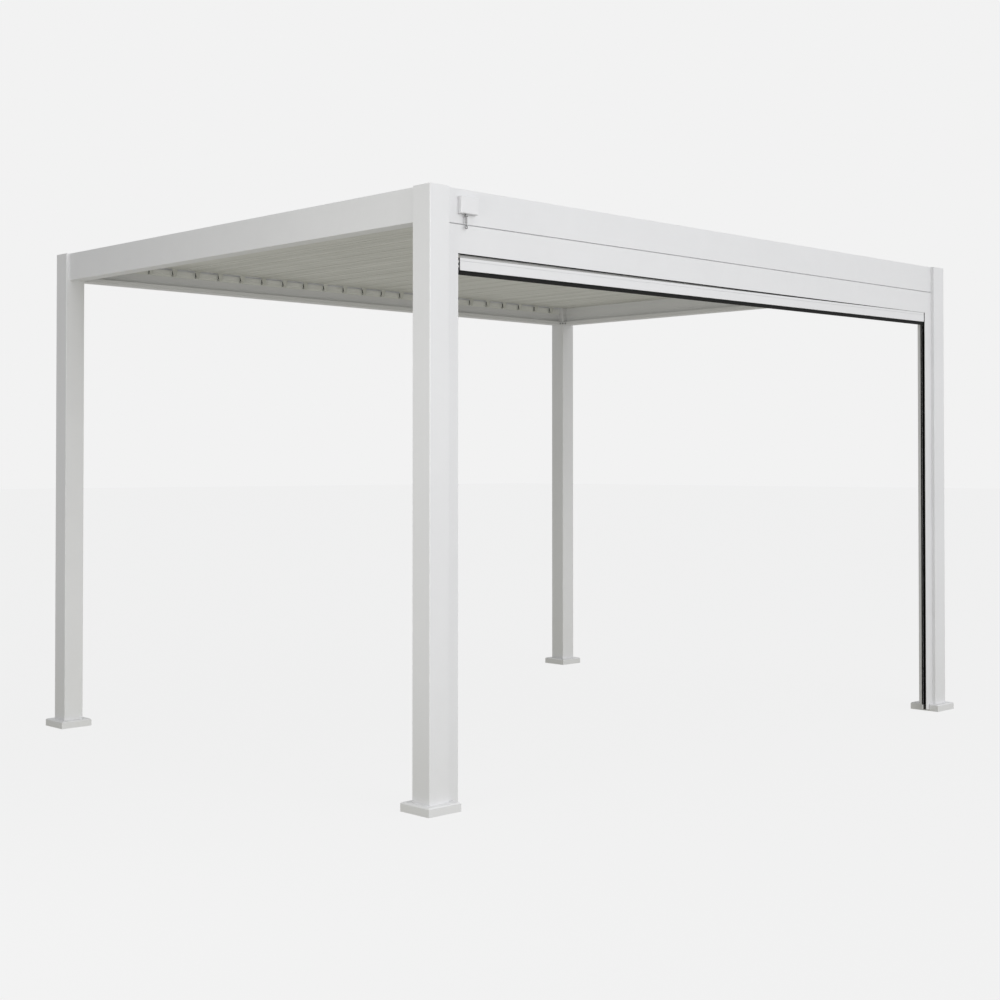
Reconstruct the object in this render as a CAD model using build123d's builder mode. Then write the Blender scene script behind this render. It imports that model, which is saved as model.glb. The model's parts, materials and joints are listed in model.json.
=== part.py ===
"""Louvered pergola: an aluminium frame on four posts with a roof of tilting louvers.

Millimetres, Z up. The origin is on the ground under the middle of the frame.
X runs along the long sides, and the screened front is the long side at -Y.
"""
from build123d import *
import os
from math import atan2, cos, degrees, radians, sin

# Frame over all
LENGTH = 3900.0            # over the posts, along X
WIDTH = 3000.0             # over the posts, along Y
HEIGHT = 2500.0            # ground to the top of the posts

# Posts, caps and feet
POST = 106.0
POST_WALL = 2.5
POST_EDGE_R = 4.0
CAP_T = 3.0
CAP_SPIGOT_H = 22.0
SPIGOT_CLEARANCE = 0.3
PLATE = 158.0              # square anchor plate under each post
PLATE_T = 8.0
PLATE_SPIGOT_H = 60.0
PLATE_SPIGOT_WALL = 4.0
ANCHOR_SPACING = 134.0
ANCHOR_HOLE_R = 5.5
COVER_OVERHANG = 33.0      # foot cover beyond the post, each way
COVER_H = 37.0
COVER_WALL = 2.5
COVER_CHAMFER = 5.0
COVER_CLEARANCE = 0.3

# Beams: a tall box with a cover flange over the louver ends and a gutter below them
BEAM_SETBACK = 20.0        # beams, screen housing and guides behind the faces of the posts
BEAM_H = 142.0
BEAM_BOX_W = 50.0
BEAM_WALL = 2.5
BEAM_EDGE_R = 2.0
GUTTER_W = 25.0            # gutter and cover flange, in from the box
GUTTER_LIP_H = 22.0
BRACKET_LEG = 28.0
BRACKET_H = 18.0
BRACKET_T = 3.0

# Louvers: position of their pivots and the section of one blade, measured from its pivot
LOUVER_COUNT = 24
LOUVER_PITCH = 151.0
PIVOT_DROP = 59.0          # pivots below the top of the frame
BLADE_LIFT = 33.0          # underside of a blade above its pivot
BLADE_T = 22.0
BLADE_WALL = 1.6
BLADE_LEFT = 62.0          # body of the blade to the left of the pivot
BLADE_RIGHT = 66.0         # and to its right
HOOK_W = 16.0              # rain channel along the left edge
HOOK_H = 13.0
LIP_W = 17.0               # lip along the right edge, over the next blade's channel
LIP_T = 3.0
SKIN_T = 2.4               # floor and outer wall of the rain channel
RIB_GROOVE_W = 3.0
RIB_GROOVE_D = 1.2
RIB_GROOVE_X = 21.0        # grooves on the underside, each way from the pivot line

# Louver ends, pivots and drive
END_GAP = 5.0              # blade end to gutter lip
END_PLATE_T = 3.0
EAR_R = 9.0
EAR_TOP_W = 36.0           # ear where it meets the blade
PIN_R = 4.0                # over the corners of the faceted pins
PIN_SIDES = 8
PIN_CLEARANCE = 0.1
RAIL_T = 4.0
RAIL_LOW = 9.0             # rail below the pivots
RAIL_HIGH = 26.0           # and above them
COVER_STRIP_T = 7.0        # clip-on strips of the rail between its bosses
COVER_STRIP_H = 23.0
COVER_STRIP_GAP = 9.0      # slit between two strips, at a pivot
BOSS_W = 16.0              # square bearing boss
BOSS_T = 4.0
BORE_DEPTH = 6.5           # blind bores of the bosses
PIN_END_GAP = 1.0
ARM_R = 40.0               # pivot to link pin
ARM_ANGLE = 225.0          # of the arm with the roof closed, from +X towards +Z
ARM_W = 14.0
LINK_PIN_R = 3.0
LINK_BAR_T = 4.0
LINK_BAR_H = 16.0
LINK_BAR_GAP = 6.0         # link bar to the pivot bosses
LINK_BAR_END = 15.0        # bar beyond its last pins
STRIP_SWING_GAP = 12.0     # left edge strip to the swinging rain channel
STRIP_LIP_OVERLAP = 7.5    # its lip over that channel

# Hand drive on the front beam
GEARBOX_W = 95.0
GEARBOX_H = 69.0
GEARBOX_D = 21.0
WORM_OUT = 13.0            # worm and crank eye in front of the beam's face
GEARBOX_TOP_DROP = 32.0    # top of the gearbox below the top of the beam
GEARBOX_LEFT = 45.0        # left side of the gearbox to the driven pivot
GEARBOX_EDGE_R = 4.0
WORM_OFFSET = 11.0         # worm and crank eye to the driven pivot
DRIVE_HOLE_CLEARANCE = 2.0
EYE_SLEEVE_R = 7.0
EYE_SLEEVE_H = 10.0
EYE_ROD_R = 4.0
EYE_ROD_L = 46.0           # gearbox to the top of the ring
EYE_RING_R = 8.0
EYE_HOLE_R = 4.0
EYE_RING_T = 5.0
EYE_SHAFT_UP = 14.0        # crank shaft inside the gearbox
EYE_SHAFT_CLEARANCE = 0.1

# Roller screen under the front beam
CASSETTE_H = 120.0
CASSETTE_D = 85.0
CASSETTE_WALL = 2.5
CASSETTE_END_T = 4.0
SEAM_H = 3.5               # shadow seam under the front beam
SEAM_D = 9.0
SLOT_FRONT = 6.0          # slot in the cassette's floor, from its front face
SLOT_W = 14.0
ROLL_R = 34.0
ROLL_WALL = 8.0             # tube with the wound screen
ROLL_SHAFT_R = 8.0
ROLL_SHAFT_CLEARANCE = 0.3
ROLL_SHAFT_SEAT = 2.0      # shaft ends in the cassette's end walls
ROLL_SHAFT_END_GAP = 1.0
ROLL_END_GAP = 4.0
SCREEN_T = 1.0
SCREEN_BACK = 12.0         # screen behind the face of the housing
SCREEN_ROLL_GAP = 0.1
BAR_D = 24.0
BAR_H = 50.0
BAR_WALL = 2.0
BAR_GAP_LEFT = 18.0        # cassette to bar at the left guide: the bar hangs a little out of level
BAR_GAP_RIGHT = 1.0
BAR_GROOVE_W = 3.0
BAR_GROOVE_D = 2.0
BAR_GROOVE_DROP = 11.0     # groove in the bar's face, below its top
BAR_END_GAP = 10.0         # end of the bar to the guide, with the bar's end plug in it
END_PLUG_T = 4.0
END_PLUG_CLEARANCE = 0.4
END_PLUG_TOOTH = 3.0       # teeth of the plug towards the guide
END_PLUG_TEETH = 3
BAR_POCKET_DEPTH = 8.0
TONGUE_T = 10.0            # end tongue of the bar, in the guide
TONGUE_L = 21.0
SEAL_H = 17.0
SEAL_T = 12.0
GUIDE_W = 64.0
GUIDE_FRONT_D = 28.5
GUIDE_BACK_D = 17.0
GUIDE_BACK_STEP = 5.0
GUIDE_WALL = 2.5
GUIDE_SLOT_W = 17.0
GUIDE_SLOT_DEPTH = 22.0
INSERT_T = 1.5
INSERT_CLEARANCE = 0.1
INSERT_SETBACK = 1.0       # edge of the lining behind the guide's face
PLUG_H = 26.0
PLUG_CLEARANCE = 2.0

# Places that follow from the sizes above
POST_X = (LENGTH - POST) / 2
POST_Y = (WIDTH - POST) / 2
SPAN_X = LENGTH - 2 * POST
SPAN_Y = WIDTH - 2 * POST
BEAM_BOTTOM = HEIGHT - BEAM_H
BEAM_W = BEAM_BOX_W + GUTTER_W
BOX_IN = BEAM_SETBACK + BEAM_BOX_W
LIP_IN = BEAM_SETBACK + BEAM_W
PIVOT_Z = HEIGHT - PIVOT_DROP
FIRST_PIVOT_X = -(LOUVER_COUNT - 1) * LOUVER_PITCH / 2
LAST_PIVOT_X = -FIRST_PIVOT_X
BLADE_TOP = BLADE_LIFT + BLADE_T
HOOK_X = -(BLADE_LEFT + HOOK_W)
LOUVER_END_Y = WIDTH / 2 - LIP_IN - END_GAP
RAIL_Y = WIDTH / 2 - BOX_IN
BOSS_FACE_Y = RAIL_Y - RAIL_T - BOSS_T
LINK_BAR_Y = -(BOSS_FACE_Y - LINK_BAR_GAP)
ARM_X = ARM_R * cos(radians(ARM_ANGLE))
ARM_Z = ARM_R * sin(radians(ARM_ANGLE))
FACE_Y = -WIDTH / 2 + BEAM_SETBACK
CASSETTE_TOP = BEAM_BOTTOM
CASSETTE_BOTTOM = CASSETTE_TOP - CASSETTE_H
GUIDE_X = LENGTH / 2 - POST
GUIDE_FACE_X = GUIDE_X - GUIDE_W
ROLL_Y = FACE_Y + SCREEN_BACK + SCREEN_T / 2 + SCREEN_ROLL_GAP + ROLL_R
ROLL_Z = CASSETTE_BOTTOM + CASSETTE_H / 2

CORNERS = {
    "front_left": (-1, -1),
    "front_right": (1, -1),
    "rear_left": (-1, 1),
    "rear_right": (1, 1),
}

os.makedirs("parts", exist_ok=True)


def save(part, name):
    """Labels a finished piece and writes its STEP file."""
    part.label = name
    export_step(part, f"parts/{name}.step")


def square_ring(side, wall, corner_r):
    """Sketches a square tube's section, rounded outside, around the current location."""
    RectangleRounded(side, side, corner_r)
    Rectangle(side - 2 * wall, side - 2 * wall, mode=Mode.SUBTRACT)


def spigot_ring(wall):
    """Sketches the square ring that fits inside a post, around the current location."""
    side = POST - 2 * POST_WALL - 2 * SPIGOT_CLEARANCE
    Rectangle(side, side)
    Rectangle(side - 2 * wall, side - 2 * wall, mode=Mode.SUBTRACT)


def make_post(name, side_x, side_y):
    with BuildPart() as post:
        with BuildSketch(Plane.XY.offset(PLATE_T)):
            with Locations((side_x * POST_X, side_y * POST_Y)):
                square_ring(POST, POST_WALL, POST_EDGE_R)
        extrude(amount=HEIGHT - CAP_T - PLATE_T)
    save(post.part, f"post_{name}")


def make_caps():
    """Flat caps that finish the posts flush, each with a spigot in its post."""
    with BuildPart() as caps:
        with BuildSketch(Plane.XY.offset(HEIGHT - CAP_T)):
            with GridLocations(2 * POST_X, 2 * POST_Y, 2, 2):
                RectangleRounded(POST, POST, POST_EDGE_R)
        extrude(amount=CAP_T)
        with BuildSketch(Plane.XY.offset(HEIGHT - CAP_T)):
            with GridLocations(2 * POST_X, 2 * POST_Y, 2, 2):
                spigot_ring(CAP_T)
        extrude(amount=-CAP_SPIGOT_H)
    save(caps.part, "post_caps")


def make_foot_plate(name, side_x, side_y):
    """Anchor plate with four bolt holes and the spigot that the post stands over."""
    with BuildPart() as plate:
        with BuildSketch():
            with Locations((side_x * POST_X, side_y * POST_Y)):
                Rectangle(PLATE, PLATE)
                with GridLocations(ANCHOR_SPACING, ANCHOR_SPACING, 2, 2):
                    Circle(ANCHOR_HOLE_R, mode=Mode.SUBTRACT)
        extrude(amount=PLATE_T)
        with BuildSketch(Plane.XY.offset(PLATE_T)):
            with Locations((side_x * POST_X, side_y * POST_Y)):
                spigot_ring(PLATE_SPIGOT_WALL)
        extrude(amount=PLATE_SPIGOT_H)
    save(plate.part, f"foot_plate_{name}")


def make_foot_covers():
    """Low square covers around the post feet, hollow below, with chamfered upper edges."""
    side = POST + 2 * COVER_OVERHANG
    hole = POST + 2 * COVER_CLEARANCE
    with BuildPart() as covers:
        with BuildSketch():
            with GridLocations(2 * POST_X, 2 * POST_Y, 2, 2):
                Rectangle(side, side)
        extrude(amount=COVER_H)
        chamfer(covers.faces().group_by(Axis.Z)[-1].edges(), COVER_CHAMFER)
        with BuildSketch():
            with GridLocations(2 * POST_X, 2 * POST_Y, 2, 2):
                Rectangle(side - 2 * COVER_WALL, side - 2 * COVER_WALL)
        extrude(amount=COVER_H - COVER_CHAMFER - COVER_WALL, mode=Mode.SUBTRACT)
        with BuildSketch():
            with GridLocations(2 * POST_X, 2 * POST_Y, 2, 2):
                Rectangle(hole, hole)
        extrude(amount=COVER_H, mode=Mode.SUBTRACT)
    save(covers.part, "foot_covers")


def beam_section():
    """Sketches a beam's section: X runs in from the outer face, Y up from the underside."""
    with Locations((BEAM_BOX_W / 2, BEAM_H / 2)):
        RectangleRounded(BEAM_BOX_W, BEAM_H, BEAM_EDGE_R)
    with Locations((BEAM_BOX_W, BEAM_H - BEAM_WALL)):
        Rectangle(GUTTER_W, BEAM_WALL, align=(Align.MIN, Align.MIN))
    with Locations((BEAM_BOX_W - BEAM_EDGE_R, BEAM_H - BEAM_WALL)):
        Rectangle(BEAM_EDGE_R, BEAM_WALL, align=(Align.MIN, Align.MIN))
    with Locations((BEAM_BOX_W - BEAM_EDGE_R, 0)):
        Rectangle(GUTTER_W + BEAM_EDGE_R, BEAM_WALL, align=(Align.MIN, Align.MIN))
    with Locations((BEAM_W, 0)):
        Rectangle(BEAM_WALL, GUTTER_LIP_H, align=(Align.MAX, Align.MIN))
    with Locations((BEAM_BOX_W / 2, BEAM_H / 2)):
        Rectangle(BEAM_BOX_W - 2 * BEAM_WALL, BEAM_H - 2 * BEAM_WALL, mode=Mode.SUBTRACT)


def beam_plane(outer, inward, along):
    """Plane at a beam's outer lower edge: X inwards, Y up, normal along the beam."""
    return Plane(origin=outer, x_dir=inward, z_dir=along)


def make_long_beam(name, side_y):
    """Beam along X; the front one is bored for the drive shaft."""
    origin = (side_y * SPAN_X / 2, side_y * (WIDTH / 2 - BEAM_SETBACK), BEAM_BOTTOM)
    with BuildPart() as beam:
        with BuildSketch(beam_plane(origin, (0, -side_y, 0), (-side_y, 0, 0))):
            beam_section()
        extrude(amount=SPAN_X)
        if side_y < 0:
            with BuildSketch(Plane.XZ.offset(-FACE_Y - BEAM_BOX_W)):
                with Locations((FIRST_PIVOT_X, PIVOT_Z)):
                    Circle(PIN_R + DRIVE_HOLE_CLEARANCE)
            extrude(amount=BEAM_BOX_W, mode=Mode.SUBTRACT)
    save(beam.part, f"beam_{name}")


def make_short_beam(name, side_x):
    origin = (side_x * (LENGTH / 2 - BEAM_SETBACK), -side_x * SPAN_Y / 2, BEAM_BOTTOM)
    with BuildPart() as beam:
        with BuildSketch(beam_plane(origin, (-side_x, 0, 0), (0, side_x, 0))):
            beam_section()
        extrude(amount=SPAN_Y)
    save(beam.part, f"beam_{name}")


def angle_section(leg, thickness):
    """Sketches an angle with its corner at the origin."""
    Rectangle(leg, thickness, align=(Align.MIN, Align.MIN))
    Rectangle(thickness, leg, align=(Align.MIN, Align.MIN))


def make_corner_brackets():
    """Angles that screw the gutter lips to the sides of the posts."""
    lip_x = LENGTH / 2 - LIP_IN
    lip_y = WIDTH / 2 - LIP_IN
    with BuildPart() as brackets:
        for side_x, side_y in CORNERS.values():
            turn = degrees(atan2(-side_y, -side_x)) - 45
            with BuildSketch(Plane.XY.offset(BEAM_BOTTOM)):
                with Locations(Location((side_x * SPAN_X / 2, side_y * lip_y), turn)):
                    angle_section(BRACKET_LEG, BRACKET_T)
                with Locations(Location((side_x * lip_x, side_y * SPAN_Y / 2), turn)):
                    angle_section(BRACKET_LEG, BRACKET_T)
            extrude(amount=BRACKET_H)
    save(brackets.part, "corner_brackets")


def blade_section():
    """Sketches one louver blade around its pivot: X across the roof, Y up."""
    body_l = -BLADE_LEFT
    Polygon(
        (HOOK_X, BLADE_LIFT),
        (BLADE_RIGHT, BLADE_LIFT),
        (BLADE_RIGHT, BLADE_TOP - LIP_T),
        (BLADE_RIGHT + LIP_W, BLADE_TOP - LIP_T),
        (BLADE_RIGHT + LIP_W, BLADE_TOP),
        (body_l, BLADE_TOP),
        (body_l, BLADE_LIFT + SKIN_T),
        (HOOK_X + SKIN_T, BLADE_LIFT + SKIN_T),
        (HOOK_X + SKIN_T, BLADE_LIFT + HOOK_H),
        (HOOK_X, BLADE_LIFT + HOOK_H),
        align=None,
    )
    with Locations((-RIB_GROOVE_X, BLADE_LIFT), (RIB_GROOVE_X, BLADE_LIFT)):
        Rectangle(RIB_GROOVE_W, 2 * RIB_GROOVE_D, mode=Mode.SUBTRACT)
    cell_w = (BLADE_LEFT + BLADE_RIGHT - 3 * BLADE_WALL) / 2
    cell_low = BLADE_LIFT + RIB_GROOVE_D + BLADE_WALL
    cell_h = BLADE_TOP - BLADE_WALL - cell_low
    for left in (body_l + BLADE_WALL, body_l + 2 * BLADE_WALL + cell_w):
        with Locations((left, cell_low)):
            Rectangle(cell_w, cell_h, align=(Align.MIN, Align.MIN), mode=Mode.SUBTRACT)


def end_plate_section(with_arm):
    """Sketches a louver's end plate: the closed body, the ear of the pivot, and the drive arm."""
    body_w = BLADE_LEFT + BLADE_RIGHT
    with Locations((BLADE_RIGHT - body_w / 2, BLADE_LIFT + BLADE_T / 2)):
        Rectangle(body_w, BLADE_T)
    RegularPolygon(EAR_R, PIN_SIDES, major_radius=False, rotation=180 / PIN_SIDES)
    Polygon((-EAR_R, 0), (EAR_R, 0), (EAR_TOP_W / 2, BLADE_LIFT), (-EAR_TOP_W / 2, BLADE_LIFT), align=None)
    if with_arm:
        with Locations(Location((ARM_X / 2, ARM_Z / 2), ARM_ANGLE)):
            Rectangle(ARM_R + ARM_W, ARM_W)


def bore_section(pin_r):
    """Sketches a faceted bore that the pin of this radius turns in."""
    RegularPolygon(pin_r + PIN_CLEARANCE, PIN_SIDES, major_radius=False, mode=Mode.SUBTRACT)


def make_louver(number):
    """Blade, end plates, pivot pins and link pin; the first one's front pin is its round drive shaft."""
    x = FIRST_PIVOT_X + (number - 1) * LOUVER_PITCH
    front = Plane(origin=(x, -LOUVER_END_Y, PIVOT_Z), x_dir=(1, 0, 0), z_dir=(0, -1, 0))
    rear = Plane(origin=(x, LOUVER_END_Y, PIVOT_Z), x_dir=(1, 0, 0), z_dir=(0, -1, 0))
    pin_l = BOSS_FACE_Y + BORE_DEPTH - PIN_END_GAP - LOUVER_END_Y
    drive_l = -FACE_Y - LOUVER_END_Y
    with BuildPart() as louver:
        with BuildSketch(rear.offset(END_PLATE_T)):
            blade_section()
        extrude(amount=2 * LOUVER_END_Y - 2 * END_PLATE_T)
        with BuildSketch(front):
            end_plate_section(with_arm=True)
        extrude(amount=-END_PLATE_T)
        with BuildSketch(rear):
            end_plate_section(with_arm=False)
        extrude(amount=END_PLATE_T)
        if number == 1:
            with BuildSketch(front):
                Circle(PIN_R)
            extrude(amount=drive_l)
        else:
            with BuildSketch(front):
                RegularPolygon(PIN_R, PIN_SIDES)
            extrude(amount=pin_l)
        with BuildSketch(rear):
            RegularPolygon(PIN_R, PIN_SIDES)
        extrude(amount=-pin_l)
        with BuildSketch(front):
            with Locations((ARM_X, ARM_Z)):
                RegularPolygon(LINK_PIN_R, PIN_SIDES)
        extrude(amount=-LINK_BAR_Y - LOUVER_END_Y)
    save(louver.part, f"louver_{number:02d}")


def make_link_bar():
    """Flat bar bored for the link pins of all louvers."""
    bar_l = (LOUVER_COUNT - 1) * LOUVER_PITCH + 2 * LINK_BAR_END
    with BuildPart() as bar:
        with BuildSketch(Plane.XZ.offset(-LINK_BAR_Y - LINK_BAR_T)):
            with Locations((ARM_X, PIVOT_Z + ARM_Z)):
                Rectangle(bar_l, LINK_BAR_H)
                with GridLocations(LOUVER_PITCH, 1, LOUVER_COUNT, 1):
                    bore_section(LINK_PIN_R)
        extrude(amount=LINK_BAR_T)
    save(bar.part, "link_bar")


def make_pivot_rails():
    """Rails on the long beams with square bearing bosses for the pins and a strip between each two."""
    strip_l = LOUVER_PITCH - COVER_STRIP_GAP
    with BuildPart() as rails:
        for side_y in (-1, 1):
            wall = Plane(origin=(0, side_y * RAIL_Y, PIVOT_Z), x_dir=(1, 0, 0), z_dir=(0, -side_y, 0))
            with BuildSketch(wall):
                with Locations((0, side_y * (RAIL_HIGH - RAIL_LOW) / 2)):
                    Rectangle(SPAN_X, RAIL_LOW + RAIL_HIGH)
            extrude(amount=RAIL_T)
            with BuildSketch(wall.offset(RAIL_T)):
                with GridLocations(LOUVER_PITCH, 1, LOUVER_COUNT, 1):
                    Rectangle(BOSS_W, BOSS_W)
            extrude(amount=BOSS_T)
            with BuildSketch(wall.offset(RAIL_T)):
                with Locations((0, side_y * (RAIL_HIGH - COVER_STRIP_H / 2))):
                    with GridLocations(LOUVER_PITCH, 1, LOUVER_COUNT - 1, 1):
                        Rectangle(strip_l, COVER_STRIP_H)
            extrude(amount=COVER_STRIP_T)
            with BuildSketch(wall.offset(RAIL_T + BOSS_T)):
                with GridLocations(LOUVER_PITCH, 1, LOUVER_COUNT, 1):
                    RegularPolygon(PIN_R + PIN_CLEARANCE, PIN_SIDES, major_radius=False)
            extrude(amount=-BORE_DEPTH, mode=Mode.SUBTRACT)
        with BuildSketch(Plane.XZ.offset(BOSS_FACE_Y)):
            with Locations((FIRST_PIVOT_X, PIVOT_Z)):
                Circle(PIN_R + PIN_CLEARANCE)
        extrude(amount=RAIL_T + BOSS_T, mode=Mode.SUBTRACT)
    save(rails.part, "pivot_rails")


def make_edge_strip(name, side_x):
    """Fixed strip that closes the roof between a short beam and the nearest louver."""
    beam_face = LENGTH / 2 - BOX_IN
    low = PIVOT_Z + BLADE_LIFT
    top = HEIGHT - BEAM_WALL
    lip_top = PIVOT_Z + BLADE_TOP
    with BuildPart() as strip:
        with BuildSketch(Plane.XZ.offset(-SPAN_Y / 2)):
            if side_x < 0:
                hook = FIRST_PIVOT_X + HOOK_X
                body = hook - STRIP_SWING_GAP
                with Locations((-beam_face, low)):
                    Rectangle(body + beam_face, lip_top - low, align=(Align.MIN, Align.MIN))
                with Locations((body, lip_top - LIP_T)):
                    Rectangle(hook + STRIP_LIP_OVERLAP - body, LIP_T, align=(Align.MIN, Align.MIN))
            else:
                hook = LAST_PIVOT_X + LOUVER_PITCH + HOOK_X
                body = hook + HOOK_W
                with Locations((body, low)):
                    Rectangle(beam_face - body, lip_top - low, align=(Align.MIN, Align.MIN))
                with Locations((hook, low)):
                    Rectangle(HOOK_W, SKIN_T, align=(Align.MIN, Align.MIN))
                    Rectangle(SKIN_T, HOOK_H, align=(Align.MIN, Align.MIN))
            with Locations((side_x * beam_face, lip_top - LIP_T)):
                Rectangle(
                    GUTTER_W, top - lip_top + LIP_T,
                    align=(Align.MAX if side_x > 0 else Align.MIN, Align.MIN),
                )
            cell_l = beam_face - abs(body) - 2 * BLADE_WALL
            with Locations(((body + side_x * beam_face) / 2, (low + lip_top) / 2)):
                Rectangle(cell_l, BLADE_T - 2 * BLADE_WALL, mode=Mode.SUBTRACT)
        extrude(amount=SPAN_Y)
    save(strip.part, f"edge_strip_{name}")


def make_gearbox():
    """Closed worm gearbox on the face of the front beam, bored for the shaft and the crank."""
    left = FIRST_PIVOT_X - GEARBOX_LEFT
    top = HEIGHT - GEARBOX_TOP_DROP
    centre = (left + GEARBOX_W / 2, FACE_Y - GEARBOX_D / 2, top - GEARBOX_H / 2)
    worm = (FIRST_PIVOT_X - WORM_OFFSET, FACE_Y - WORM_OUT)
    with BuildPart() as gearbox:
        with Locations(centre):
            Box(GEARBOX_W, GEARBOX_D, GEARBOX_H)
        fillet(gearbox.faces().sort_by(Axis.Y)[0].edges(), GEARBOX_EDGE_R)
        with BuildSketch(Plane.XY.offset(top - GEARBOX_H)):
            with Locations(worm):
                Circle(EYE_ROD_R + EYE_SHAFT_CLEARANCE)
        extrude(amount=EYE_SHAFT_UP + PIN_END_GAP, mode=Mode.SUBTRACT)
    save(gearbox.part, "gearbox")


def make_crank_eye():
    """Crank shaft with its collar and the ring that the crank rod hooks into."""
    base = HEIGHT - GEARBOX_TOP_DROP - GEARBOX_H
    worm = (FIRST_PIVOT_X - WORM_OFFSET, FACE_Y - WORM_OUT)
    ring_z = base - EYE_ROD_L - EYE_RING_R
    into_ring = EYE_RING_R - EYE_HOLE_R
    with BuildPart() as eye:
        with BuildSketch(Plane.XZ.offset(-worm[1])):
            with Locations((worm[0], ring_z)):
                Circle(EYE_RING_R)
                Circle(EYE_HOLE_R, mode=Mode.SUBTRACT)
        extrude(amount=EYE_RING_T / 2, both=True)
        with BuildSketch(Plane.XY.offset(base - EYE_ROD_L - into_ring / 2)):
            with Locations(worm):
                Circle(EYE_ROD_R)
        extrude(amount=EYE_ROD_L + into_ring / 2 + EYE_SHAFT_UP)
        with BuildSketch(Plane.XY.offset(base - PIN_END_GAP - EYE_SLEEVE_H)):
            with Locations(worm):
                Circle(EYE_SLEEVE_R)
        extrude(amount=EYE_SLEEVE_H)
    save(eye.part, "crank_eye")


def make_cassette():
    """Hollow screen housing between the front posts, slotted below for the screen."""
    depth_in = CASSETTE_D - 2 * CASSETTE_WALL
    height_in = CASSETTE_H - 2 * CASSETTE_WALL
    middle = (FACE_Y + CASSETTE_D / 2, CASSETTE_BOTTOM + CASSETTE_H / 2)
    end = Plane.YZ.offset(-SPAN_X / 2)
    inner = Plane.YZ.offset(-SPAN_X / 2 + CASSETTE_END_T)
    inner_l = SPAN_X - 2 * CASSETTE_END_T
    with BuildPart() as cassette:
        with BuildSketch(end):
            with Locations(middle):
                Rectangle(CASSETTE_D, CASSETTE_H)
            with Locations((FACE_Y, CASSETTE_TOP)):
                Rectangle(SEAM_D, SEAM_H, align=(Align.MIN, Align.MAX), mode=Mode.SUBTRACT)
        extrude(amount=SPAN_X)
        with BuildSketch(inner):
            with Locations((middle[0] + SEAM_D / 2, middle[1])):
                Rectangle(depth_in - SEAM_D, height_in)
            with Locations((FACE_Y + CASSETTE_WALL, CASSETTE_BOTTOM + CASSETTE_WALL)):
                Rectangle(SEAM_D, height_in - SEAM_H, align=(Align.MIN, Align.MIN))
            with Locations((FACE_Y + SLOT_FRONT, CASSETTE_BOTTOM)):
                Rectangle(SLOT_W, CASSETTE_WALL, align=(Align.MIN, Align.MIN))
        extrude(amount=inner_l, mode=Mode.SUBTRACT)
        blind = CASSETTE_END_T - ROLL_SHAFT_SEAT - ROLL_SHAFT_END_GAP
        with BuildSketch(end.offset(blind)):
            with Locations((ROLL_Y, ROLL_Z)):
                Circle(ROLL_SHAFT_R + ROLL_SHAFT_CLEARANCE)
        extrude(amount=SPAN_X - 2 * blind, mode=Mode.SUBTRACT)
    save(cassette.part, "screen_cassette")


def make_screen_roll():
    """Rolled screen on its tube, with a shaft end in each end wall of the cassette."""
    roll_l = SPAN_X - 2 * CASSETTE_END_T - 2 * ROLL_END_GAP
    shaft_l = SPAN_X - 2 * (CASSETTE_END_T - ROLL_SHAFT_SEAT)
    centre = (ROLL_Y, ROLL_Z)
    with BuildPart() as roll:
        with BuildSketch(Plane.YZ.offset(-roll_l / 2)):
            with Locations(centre):
                Circle(ROLL_R)
        extrude(amount=roll_l)
        with BuildSketch(Plane.YZ.offset(-shaft_l / 2)):
            with Locations(centre):
                Circle(ROLL_SHAFT_R)
        extrude(amount=shaft_l)
        with BuildSketch(Plane.YZ.offset(ROLL_WALL - roll_l / 2)):
            with Locations(centre):
                Circle(ROLL_R - ROLL_WALL)
        extrude(amount=roll_l - 2 * ROLL_WALL, mode=Mode.SUBTRACT)
    save(roll.part, "screen_roll")


def bar_plane():
    """Plane across the bottom bar at its middle, tilted with it: X back, Y up from its top."""
    run = 2 * GUIDE_FACE_X
    tilt = Vector(run, 0, BAR_GAP_LEFT - BAR_GAP_RIGHT).normalized()
    top = CASSETTE_BOTTOM - (BAR_GAP_LEFT + BAR_GAP_RIGHT) / 2
    return Plane(origin=(0, FACE_Y, top), x_dir=(0, 1, 0), z_dir=(tilt.X, 0, tilt.Z))


def make_bottom_bar():
    """Bar that weighs the screen down, grooved along its face, with a tongue in each guide."""
    bar_l = 2 * (GUIDE_FACE_X - BAR_END_GAP)
    tongue_l = bar_l + 2 * TONGUE_L
    with BuildPart() as bar:
        with BuildSketch(bar_plane()):
            Rectangle(BAR_D, BAR_H, align=(Align.MIN, Align.MAX))
            with Locations((0, -BAR_GROOVE_DROP)):
                Rectangle(BAR_GROOVE_D, BAR_GROOVE_W, align=(Align.MIN, Align.MAX), mode=Mode.SUBTRACT)
            with Locations((SCREEN_BACK, 0)):
                Rectangle(
                    SCREEN_T + 2 * INSERT_CLEARANCE, BAR_POCKET_DEPTH,
                    align=(Align.CENTER, Align.MAX), mode=Mode.SUBTRACT,
                )
            with Locations((BAR_D / 2, -BAR_H)):
                Rectangle(
                    SEAL_T - 2 * BAR_GROOVE_D, BAR_GROOVE_D,
                    align=(Align.CENTER, Align.MIN), mode=Mode.SUBTRACT,
                )
            cell_top = BAR_GROOVE_DROP + BAR_GROOVE_W + BAR_WALL
            cell_h = BAR_H - cell_top - BAR_GROOVE_D - BAR_WALL
            with Locations((BAR_D / 2, -cell_top)):
                Rectangle(BAR_D - 2 * BAR_WALL, cell_h, align=(Align.CENTER, Align.MAX), mode=Mode.SUBTRACT)
        extrude(amount=bar_l / 2, both=True)
        with BuildSketch(bar_plane()):
            with Locations((BAR_D / 2, -BAR_H / 2)):
                Rectangle(TONGUE_T, BAR_H - 2 * BAR_GROOVE_DROP)
        extrude(amount=tongue_l / 2, both=True)
    save(bar.part, "screen_bottom_bar")


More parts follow.
